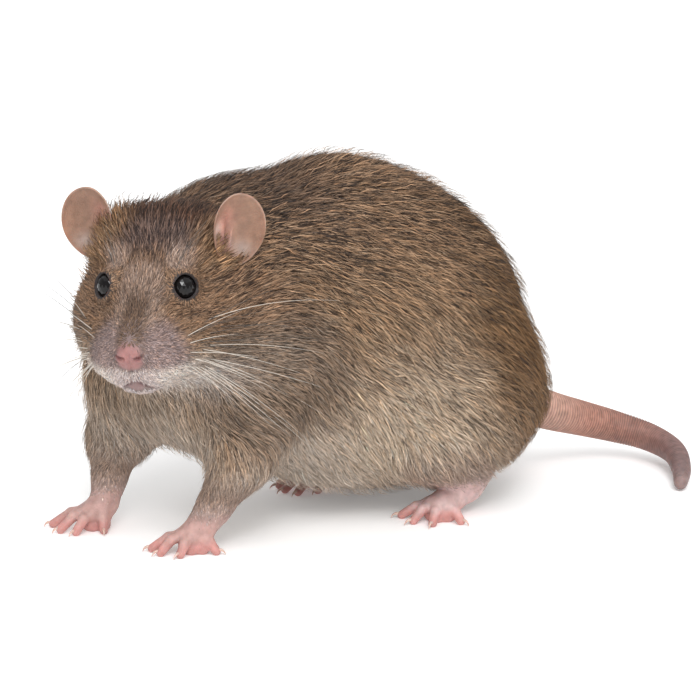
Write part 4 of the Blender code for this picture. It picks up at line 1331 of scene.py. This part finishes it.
BETWEEN = ((0.400, 0.285, 0.225), (0.150, 0.104, 0.084))
BRIDGE = ((0.155, 0.097, 0.066), (0.050, 0.032, 0.025))
SHANK = ((0.340, 0.240, 0.190), (0.130, 0.092, 0.072))
WRIST = ((0.480, 0.350, 0.310), (0.330, 0.235, 0.205))
BROW_PLACE = (-2.0, 8.5, 5.8)
HAUNCH_PLACE, SHOULDER_PLACE = (38.0, -2.0, 33.0), (31.0, -47.0, 52.0)


def patch(points, centre, inner, outer):
    """1 within the inner distance of a place, on either side of the body, and 0 past the outer one."""
    away = np.column_stack([np.abs(points[:, 0]), points[:, 1:]]) - centre
    return smooth(outer, inner, lengths(away) + 3 * noise(points, 8, 7))


EAR_BASE_DOWN, EAR_BASE_IN = 4.5, 5.5  # from the middle of an ear to its base
EAR_BASE_EDGE = (11, 5)


def ear_nearness(points):
    """1 at the ears' roots, and 0 some way off."""
    found = np.zeros(len(points))
    for side in SIDES:
        across, tall, _ = ear_axes(side)
        root = ear_middle(side) - EAR_BASE_DOWN * tall - EAR_BASE_IN * across
        found = np.maximum(found, smooth(*EAR_BASE_EDGE, lengths(points - root)))
    return found


GUARDS, BACK_GUARDS, PATCHY_GUARDS = 0.28, 0.30, 0.12  # the share of guard hairs, and what is added to it
GUARD_RANGE = (0.02, 0.8)


def coat_marks(points, outward):
    """The colours of the band and the tip at each root, and how many tufts are dark guard hairs.

    Each zone fades in between the two places, in millimetres, that smooth is given first.
    """
    local = in_head(points)
    f, l, u = local.T
    patches = noise(points, 7, 3)
    up = smooth(58, 92, points[:, 2] + 6 * noise(points, 12, 4))
    belly = bellyness(points, outward)
    head = headness(points)
    rump = smooth(0, 40, points[:, 1] + 6 * patches + 4 * noise(points, 15, 9))
    pale = smooth(-8, 3, f) * smooth(-18, -24, u)
    lips = np.maximum(pale, smooth(3, 12, f) * smooth(-15.5, -19.0, u))
    brows = smooth(5.5, 2.0, lengths(np.column_stack([f, np.abs(l), u]) - BROW_PLACE))
    bridge = smooth(4.5, 1.5, np.abs(l)) * smooth(7, 13, f) * smooth(-14, -9, u)
    legs = legness(points) * smooth(34, 15, points[:, 2])
    zones = (
        (BACK, up),
        (NAPE, smooth(84, 95, points[:, 2]) * smooth(-12, -32, points[:, 1])),
        (BELLY, belly * (1 - head) + 0.75 * head * smooth(-8, -20, u)),
        (HAUNCH, 0.8 * patch(points, HAUNCH_PLACE, 11, 36)),
        (RUMP, rump * (1 - 0.35 * smooth(24, 14, points[:, 2]))),
        (SHOULDER, 0.85 * patch(points, SHOULDER_PLACE, 15, 27)),
        (CHEEK, head * (1 - smooth(-8, -20, u))),
        (FOREHEAD, head * smooth(3.5, 9, u)),
        (CROWN, head * smooth(8, 13, u) * smooth(-7, -14, f)),
        (EAR_BASE, 0.8 * head * ear_nearness(points)),
        (MAUVE, head * smooth(9, 15, f) * smooth(-4, -8, u)),
        (BETWEEN, 0.8 * head * smooth(7.5, 3.5, np.abs(l)) * smooth(-1, 4, f) * smooth(-9, -5, u)),
        (BRIDGE, head * bridge),
        (BROW, 0.8 * head * brows),
        (LIPS, head * lips),
        (CHIN, head * lips * smooth(8, 4, np.abs(l)) * smooth(10, 14, f)),
        (SHANK, legs),
        (WRIST, legs * smooth(18, 10, points[:, 2])),
    )
    band, tip = (
        layered(FLANK[k], [(pair[k], share) for pair, share in zones], len(points)) for k in (0, 1)
    )
    guards = GUARDS + BACK_GUARDS * up + PATCHY_GUARDS * patches
    guards = guards * (1 - 0.8 * belly) * (1 - 0.8 * head * lips) * (1 - 0.5 * legs)
    return band, tip, np.clip(guards, *GUARD_RANGE)


# The unwrap of the skin for the coat's map: each part is a tube, opened along its length
CHARTS = (  # start and end of the tube's axis, and the corner and size of its place on the map
    ((0.0, -60.0, 60.0), (0.0, 62.0, 40.0), (0.01, 0.01), (0.62, 0.98)),
    (from_head(26.0, 0.0, -10.0), from_head(-28.0, 0.0, -4.0), (0.66, 0.45), (0.33, 0.54)),
    (FORE_JOINTS[LEFT][1], FORE_JOINTS[LEFT][3], (0.66, 0.01), (0.15, 0.2)),
    (FORE_JOINTS[RIGHT][1], FORE_JOINTS[RIGHT][3], (0.83, 0.01), (0.15, 0.2)),
    (HIND_JOINTS[LEFT][1], HIND_JOINTS[LEFT][3], (0.66, 0.23), (0.15, 0.2)),
    (HIND_JOINTS[RIGHT][1], HIND_JOINTS[RIGHT][3], (0.83, 0.23), (0.15, 0.2)),
)
PATCH = 0.003  # the size of a tuft's own patch on the map
OVERHANG = 0.25  # how far a chart goes past the ends of its axis, as a share of it
LEG_CHART_TOP = 30.0


def chart_of(points):
    """Which chart each root is on."""
    found = np.where(headness(points) > 0.5, 1, 0)
    on_leg = (legness(points) > 0.5) & (points[:, 2] < LEG_CHART_TOP)
    fore = points[:, 1] < MIDDLE
    left = points[:, 0] > 2
    leg = np.where(fore, np.where(left, 2, 3), np.where(left, 4, 5))
    return np.where(on_leg, leg, found)


def unwrapped(points):
    """Each root's place on the map: round its tube's axis, and along it."""
    chart = chart_of(points)
    found = np.zeros((len(points), 2))
    for index, (start, end, corner, size) in enumerate(CHARTS):
        here = chart == index
        axis = np.array(end, float) - start
        length = np.linalg.norm(axis)
        axis /= length
        aside = unit(np.cross(axis, (0.0, 0.3, 1.0)))
        third = np.cross(axis, aside)
        away = points[here] - start
        share = (np.clip(away @ axis / length, -OVERHANG, 1 + OVERHANG) + OVERHANG) / (1 + 2 * OVERHANG)
        angle = np.arctan2(away @ third, away @ aside) / (2 * math.pi) + 0.5
        found[here] = np.column_stack([corner[0] + size[0] * angle, corner[1] + size[1] * share])
    return found


SKIN_MARGIN = 0.25  # how far off the smooth surface the skin still grows hair
TAIL_FUR_RADIUS, TAIL_FUR_END = 6.9, 62.0  # hair ends this near to the tail's line, from this place on


def scattered(mesh, per_area, seed):
    """Even but irregular places on the skin: about per_area(points) of them in each square millimetre."""
    rng = np.random.default_rng(seed)
    mesh.calc_loop_triangles()
    corners = np.empty(len(mesh.loop_triangles) * 3, np.int32)
    mesh.loop_triangles.foreach_get("vertices", corners)
    corners = read_points(mesh)[corners.reshape(-1, 3)]
    middle = corners.mean(axis=1)
    cross = np.cross(corners[:, 1] - corners[:, 0], corners[:, 2] - corners[:, 0])
    area = lengths(cross) / 2
    distance, _ = body_distance(middle)
    off = np.abs(distance + coat_depth(middle))
    off_tail = (tail_distance(middle) > TAIL_FUR_RADIUS) | (middle[:, 1] < TAIL_FUR_END)
    on_body = (off < SINK + SKIN_MARGIN) & off_tail
    total = np.cumsum(area * per_area(middle) * on_body)
    count = int(total[-1])
    pick = np.searchsorted(total, np.arange(count) + rng.random(count))
    pick = np.minimum(pick, len(area) - 1)
    a, b = rng.random((2, count))
    root_a = np.sqrt(a)
    shares = np.column_stack([1 - root_a, root_a * (1 - b), root_a * b])
    return (corners[pick] * shares[:, :, None]).sum(axis=1), rng


TUFT_FACES = ((0, 1, 2), (0, 2, 3), (0, 3, 1), (4, 2, 1), (4, 3, 2), (4, 1, 3))
TUFT_CORNERS = 5
TUFT_RIDGE = 0.6  # how far a tuft's third side stands out, in half widths
SOFTENED = (0.6, 0.4)  # a tuft is shaded by the way the skin faces, and this much by its own sides
LOW_SIDES, TIP_TURN = 0.3, 0.5
WIDEST = 0.4  # where along its length a tuft is widest
WIDEST_RISE = 0.62  # how high it is there, as a share of its tip's height
HAIR_SWING = 11.0  # degrees that single tufts stray from the lie of the hair
WILD_SHARE = 0.10  # of the tufts, which are thinner and stand out
GUARD_WIDTH, WILD_WIDTH = 0.85, 0.5
GUARD_LONGER, WILD_LONGER = 0.15, 0.25
LEAST_DEPTH = 0.1
LENGTHS, WIDTHS = (0.7, 1.15), (0.7, 1.3)
LIFTS, GUARD_LIFT, WILD_LIFTS = (0.3, 1.1), 0.12, (0.4, 1.6)  # heights of the tips, in depths of the coat
NAPE_RISE, EAR_RISE, FRINGE_RISE = 0.9, 1.2, 0.7  # how much higher they stand there
ROLL_SPREAD = 0.4  # radians
TIP_STARTS, GUARD_TIP_STARTS = (0.75, 1.1), (0.15, 0.55)  # where along a tuft its dark tip begins
TONE_SPREAD, WARMTH_SPREAD = 0.26, 0.05


def tuft_mesh(name, lines, sideways, outward, half_width, values, material):
    """One mesh of thin closed tufts: each a point at its root, a flat ring and a point at its tip."""
    count = len(lines)
    section = np.stack([-sideways, sideways, TUFT_RIDGE * outward], axis=1) * half_width[:, None, None]
    corners = np.concatenate([lines[:, :1], lines[:, 1:2] + section, lines[:, 2:]], axis=1)
    low = LOW_SIDES * outward
    facing = np.stack([-sideways - low, sideways - low, outward], axis=1)
    soft = unit(SOFTENED[0] * outward[:, None] + SOFTENED[1] * facing)
    tip_facing = unit(outward + TIP_TURN * unit(lines[:, 2] - lines[:, 0]))
    normals = np.concatenate([outward[:, None], soft, tip_facing[:, None]], axis=1)
    pattern = np.array(TUFT_FACES).ravel()
    loops = (np.arange(count)[:, None] * TUFT_CORNERS + pattern).ravel()
    mesh = bpy.data.meshes.new(name)
    mesh.vertices.add(count * TUFT_CORNERS)
    mesh.vertices.foreach_set("co", in_frame(corners.reshape(-1, 3)).astype(np.float32).ravel())
    mesh.loops.add(len(loops))
    mesh.loops.foreach_set("vertex_index", loops.astype(np.int32))
    mesh.polygons.add(len(loops) // 3)
    mesh.polygons.foreach_set("loop_start", np.arange(0, len(loops), 3, dtype=np.int32))
    mesh.update(calc_edges=True)
    reach = np.array((0.0, WIDEST, WIDEST, WIDEST, 1.0))
    across = np.array((0.0, -0.5, 0.5, 0.0, 0.0))
    place = unwrapped(lines[:, 0])[:, None] + PATCH * np.column_stack([across, reach - 0.5])
    layer = mesh.uv_layers.new(name="OFBake")
    layer.uv.foreach_set("vector", place.reshape(-1, 2)[loops].astype(np.float32).ravel())
    store(mesh, "reach", np.tile(reach, count))
    for key, value in values.items():
        store(mesh, key, np.repeat(value, TUFT_CORNERS, axis=0))
    mesh.shade_smooth()
    mesh.normals_split_custom_set_from_vertices(normals.reshape(-1, 3).astype(np.float32))
    mesh.materials.append(material)
    return link(name, mesh)


def store(mesh, name, values):
    """Keeps a value or a colour for each corner of a mesh."""
    if values.ndim == 1:
        mesh.attributes.new(name, "FLOAT", "POINT").data.foreach_set("value", values.astype(np.float32))
    else:
        padded = np.column_stack([values, np.ones(len(values))]).astype(np.float32)
        mesh.attributes.new(name, "FLOAT_COLOR", "POINT").data.foreach_set("color", padded.ravel())


def coat_lines(roots, rng):
    """Where each tuft grows: its line, which way is sideways and outward, and its kind."""
    count = len(roots)
    outward = unit(body_distance(roots)[1])
    way = swung(lie_of(roots, outward), outward, rng.normal(0, HAIR_SWING, count))
    band, tip, guards = coat_marks(roots, outward)
    guard = rng.random(count) < guards
    wild = rng.random(count) < WILD_SHARE
    fringe = smooth(10, 24, roots[:, 1]) * smooth(48, 28, roots[:, 2])
    raised = 1 + NAPE_RISE * nape(roots) + EAR_RISE * headness(roots) * ear_nearness(roots)
    raised += FRINGE_RISE * fringe
    depth = np.maximum(coat_depth(roots), LEAST_DEPTH)
    length = coat_length(roots) * rng.uniform(*LENGTHS, count)
    length *= 1 + GUARD_LONGER * guard + WILD_LONGER * wild
    lift = rng.uniform(*LIFTS, count) + GUARD_LIFT * guard + wild * rng.uniform(*WILD_LIFTS, count)
    height = depth * lift * raised
    ends = drawn_onto_skin(roots + way * length[:, None], height, rounds=2)
    middle = drawn_onto_skin(roots + way * length[:, None] * WIDEST, WIDEST_RISE * height, rounds=2)
    lines = np.stack([roots, middle, ends], axis=1)
    roll = rng.normal(0, ROLL_SPREAD, count)[:, None]
    sideways = unit(np.cross(unit(lines[:, 2] - lines[:, 0]), outward))
    tilted = sideways * np.cos(roll) + outward * np.sin(roll)
    return lines, tilted, outward, guard, wild, band, tip


def nape(points):
    """1 on the neck and the shoulders' top, where the hair stands up, and 0 elsewhere."""
    return smooth(-28, -48, points[:, 1]) * smooth(66, 80, points[:, 2])


def varied(colours, rng):
    """Colours each made a little lighter or darker, and warmer or cooler."""
    light = np.exp(rng.normal(0, TONE_SPREAD, len(colours)))[:, None]
    warm = rng.normal(0, WARMTH_SPREAD, len(colours))[:, None]
    return np.clip(colours * light * (1 + warm * np.array([1.0, 0.0, -1.0])), 0, 1)


PIECE_TRIANGLES = 195_000
SHORT_COAT = 4.6  # hair under this length is in the finer pieces on the face and paws
COATS = (  # name, tufts in a square millimetre, their width, seed, and whether it is the short hair
    ("coat_body", 5.2, 0.31, 11, False),
    ("coat_face", 11.5, 0.24, 12, True),
)


def coat(name, mesh, density, width, seed, short, material):
    """Pieces of coat over part of the skin, each under the limit of triangles."""
    roots, rng = scattered(
        mesh, lambda p: density * coat_cover(p) * ((coat_length(p) < SHORT_COAT) == short), seed
    )
    count = len(roots)
    lines, sideways, outward, guard, wild, band, tip = coat_lines(roots, rng)
    thinness = np.where(wild, WILD_WIDTH, np.where(guard, GUARD_WIDTH, 1.0))
    half_width = width * rng.uniform(*WIDTHS, count) * thinness / 2
    band = varied(band, rng)
    tip = varied(tip, rng)
    tip_start = np.where(guard, rng.uniform(*GUARD_TIP_STARTS, count), rng.uniform(*TIP_STARTS, count))
    pieces = math.ceil(count * len(TUFT_FACES) / PIECE_TRIANGLES)
    found = []
    for index, part in enumerate(np.array_split(np.argsort(roots[:, 1], kind="stable"), pieces)):
        found.append(tuft_mesh(
            "%s_%d" % (name, index + 1), lines[part], sideways[part], outward[part], half_width[part],
            {"tip_start": tip_start[part], "band": band[part], "tip": tip[part]}, material,
        ))
    print(name, count, "tufts,", count * len(TUFT_FACES), "triangles in", pieces)
    return found


# Whiskers and claws

WHISKER_ROWS, WHISKER_COLUMNS = 5, 6
FIRST_WHISKER = (13.5, 12.5, -11.5)  # before it is drawn onto the skin
COLUMN_STEP, ROW_STEP = 2.6, 1.8  # back from column to column, and down from row to row
BROW_WHISKERS = ((-1.0, 6.2, 12), (-2.5, 6.6, 15), (1.0, 5.6, 9))  # f and u of each root, and its length
BROW_ASIDE = 8.5
PALE_TONE, DARK_TONE, BROW_TONE = 0.9, 0.06, 0.1
PALE_SHARE, LOW_PALE_SHARE = 0.3, 0.4  # of the whiskers, and added in the last row
WHISKER_RISE, ROWS_FALL = 0.42, 1.05  # how steeply the top row rises, and how much less the last one does
WHISKER_LENGTH, COLUMN_LENGTH = 10, 6.0  # in the first column, and added in each one behind it
WHISKER_DROOP, WHISKER_ROOT_DEPTH = -0.16, 0.3
WHISKER_WAYS = {LEFT: (0.16, 1.0, 0.0), RIGHT: (-1.0, -0.10, 0.0)}  # swept back, as the head is turned
WHISKER_RADIUS, WHISKER_END_RADIUS = 0.11, 0.02
WHISKER_STEPS, WHISKER_SIDES = 12, 5


def hair(root, way, bend, length):
    """A tapering hair that curves as it goes, as a tube's corners and faces."""
    steps = np.linspace(0, 1, WHISKER_STEPS)[:, None]
    line = root + unit(np.array(way)) * steps * length + np.array(bend) * steps ** 2 * length
    return tube_shape(line, np.linspace(WHISKER_RADIUS, WHISKER_END_RADIUS, WHISKER_STEPS), WHISKER_SIDES)


def whisker_root(f, l, u):
    """The place just under the skin that is nearest to one in the head's frame."""
    return drawn_onto_skin(np.array([from_head(f, l, u)]), -WHISKER_ROOT_DEPTH, rounds=8)[0]


def whiskers(side, rng):
    """Long stiff hairs from the muzzle pad, and a few above the eye."""
    shapes, tones = [], []
    swept = np.array(WHISKER_WAYS[side])
    for row in range(WHISKER_ROWS):
        low = row / (WHISKER_ROWS - 1)
        for column in range(WHISKER_COLUMNS):
            f = FIRST_WHISKER[0] - COLUMN_STEP * column + rng.uniform(-0.5, 0.5)
            u = FIRST_WHISKER[2] - ROW_STEP * row + rng.uniform(-0.4, 0.4)
            root = whisker_root(f, side * FIRST_WHISKER[1], u)
            rise = WHISKER_RISE - ROWS_FALL * low + rng.uniform(-0.14, 0.14)
            fan = np.array([swept[1], -swept[0], 0.0]) * rng.uniform(-0.16, 0.16)
            length = WHISKER_LENGTH + COLUMN_LENGTH * column + rng.uniform(-2, 4)
            droop = WHISKER_DROOP + rng.uniform(-0.07, 0.07)
            shapes.append(hair(root, swept + fan + (0, 0, rise), (0, 0.04, droop), length))
            pale = rng.random() < PALE_SHARE + LOW_PALE_SHARE * low
            tones.append(PALE_TONE if pale else DARK_TONE)
    for f, u, length in BROW_WHISKERS:
        root = whisker_root(f, side * BROW_ASIDE, u)
        shapes.append(hair(root, 0.5 * swept + (0, 0, 1.0), 0.3 * swept, length))
        tones.append(BROW_TONE)
    obj = joined("whiskers_" + SIDE_NAMES[side], shapes)
    values = np.repeat(tones, [len(corners) for corners, _ in shapes])
    write_points(obj.data, in_frame(read_points(obj.data)))
    store(obj.data, "tone", values)
    obj.data.shade_smooth()
    return obj


CLAW_LENGTHS = {"fore": 1.4, "hind": 1.9}
CLAW_ROOT = 0.8  # how far inside the toe a claw starts
CLAW_SHARES = (0, 0.3, 0.6, 0.85, 1.0)  # places along a claw
CLAW_HEIGHTS = (0.35, 0.45, 0.3, -0.2)  # above the middle of the toe's tip at these places but the last
CLAW_RADII = (0.50, 0.46, 0.36, 0.22, 0.07)
CLAW_END = 0.2  # the height of the point above the floor
CLAW_RINGS, CLAW_SIDES = 14, 10


def claws(name, rows, length):
    """A hooked point from the end of each toe."""
    shapes = []
    for _, knuckle, tip in rows:
        ahead = np.array(tip) - knuckle
        ahead[2] = 0
        ahead = unit(ahead)
        start = np.array(tip) + ahead * (TOE_RADII[2] - CLAW_ROOT)
        line = [start + ahead * share * (length + CLAW_ROOT) for share in CLAW_SHARES]
        for place, height in zip(line, (*CLAW_HEIGHTS, CLAW_END - tip[2])):
            place[2] = tip[2] + height
        shapes.append(tube_shape(*along(line, CLAW_RADII, CLAW_RINGS), CLAW_SIDES))
    obj = joined(name, shapes)
    write_points(obj.data, in_frame(read_points(obj.data)))
    obj.data.shade_smooth()
    return obj


# The floor, the lights and the camera

CAMERA_TARGET = (-6.0, 0.0, 45.0)
CAMERA_AZIMUTH, CAMERA_ELEVATION = 60.0, 13.0
CAMERA_DISTANCE = 800.0
SENSOR, PHOTO_SIZE, PHOTO_FOCAL = 36.0, 700.0, 2720.0  # the sensor's width, and the focal length in pixels
LIGHT_DISTANCE = 1500.0
LIGHTS = (  # each light's azimuth and elevation, how many degrees it is across, and its strength
    ("key_light", 70, 43, 46, 1.9),
    ("catch_light", 66, 40, 14, 0.6),
    ("top_light", 230, 76, 110, 1.0),
)
WHITE = (1.0, 1.0, 1.0, 1.0)
ROOM_STRENGTH, FLOOR_GLOW = 0.45, 0.18
FLOOR_HALF = 12.0  # metres


def direction(azimuth, elevation):
    """A unit vector from the object towards a viewer there."""
    a, e = math.radians(azimuth), math.radians(elevation)
    return np.array([math.sin(a) * math.cos(e), -math.cos(a) * math.cos(e), math.sin(e)])


def aimed(obj, place, target):
    obj.location = in_frame(place)
    obj.rotation_mode = "QUATERNION"
    obj.rotation_quaternion = Vector(np.array(target, float) - place).to_track_quat("-Z", "Y")
    bpy.context.scene.collection.objects.link(obj)


def camera():
    data = bpy.data.cameras.new("camera")
    data.sensor_width = SENSOR
    data.lens = SENSOR * PHOTO_FOCAL / PHOTO_SIZE
    data.clip_start, data.clip_end = 0.01, 50.0
    obj = bpy.data.objects.new("camera", data)
    back = direction(CAMERA_AZIMUTH, CAMERA_ELEVATION)
    aimed(obj, np.array(CAMERA_TARGET) + back * CAMERA_DISTANCE, CAMERA_TARGET)
    bpy.context.scene.camera = obj


def soft_light(name, azimuth, elevation, spread, strength):
    """A broad, even light from one side, this many degrees across."""
    data = bpy.data.lights.new(name, "SUN")
    data.angle = math.radians(spread)
    data.energy = strength
    place = np.array(CAMERA_TARGET) + direction(azimuth, elevation) * LIGHT_DISTANCE
    aimed(bpy.data.objects.new(name, data), place, CAMERA_TARGET)


def studio():
    """A white floor in a dim white room, a broad light from the front with a small bright one in it for
    the eyes, and a broader one from behind and above."""
    corners = [(x * FLOOR_HALF, y * FLOOR_HALF, 0) for x, y in ((-1, -1), (1, -1), (1, 1), (-1, 1))]
    floor = made("floor", corners, [(0, 1, 2, 3)])
    floor.data.materials.append(floor_material())
    world = bpy.data.worlds.new("studio")
    bpy.context.scene.world = world
    world.use_nodes = True
    background = world.node_tree.nodes["Background"].inputs
    background["Color"].default_value = WHITE
    background["Strength"].default_value = ROOM_STRENGTH
    for light in LIGHTS:
        soft_light(*light)
    bpy.context.scene.view_settings.view_transform = "Standard"


# The whole model

FLESH = (
    "head", "neck", "torso", "fore_leg_left", "fore_leg_right", "fore_paw_left", "fore_paw_right",
    "hind_leg_left", "hind_leg_right", "hind_foot_left", "hind_foot_right", "ear_left", "ear_right",
    "tail_base", "tail_middle", "tail_tip",
)
WHISKER_SEED = 21


def main():
    camera()
    whole = skin()
    whole.data.shade_smooth()
    places = read_points(whole.data)
    store(whole.data, "colour", skin_colours(places))
    fur = coat_material()
    coats = [piece for settings in COATS for piece in coat(settings[0], whole.data, *settings[1:], fur)]
    write_points(whole.data, in_frame(places))
    whole.data.materials.clear()
    whole.data.materials.append(skin_material())
    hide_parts(*FLESH)
    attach(whole, "root")
    for piece in coats:
        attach(piece, "root")
    rng = np.random.default_rng(WHISKER_SEED)
    stiff = whisker_material()
    horn = claw_material()
    for side in SIDES:
        hairs = whiskers(side, rng)
        hairs.data.materials.append(stiff)
        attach(hairs, "root")
        for end, rows in (("fore", FORE_TOES), ("hind", HIND_TOES)):
            horns = claws("claws_%s_%s" % (end, SIDE_NAMES[side]), rows[side], CLAW_LENGTHS[end])
            horns.data.materials.append(horn)
            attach(horns, "root")
    gloss = eye_material()
    for side in SIDES:
        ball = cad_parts["eye_" + SIDE_NAMES[side]]
        for index in range(len(ball.material_slots)):
            ball.material_slots[index].material = gloss
    studio()


main()
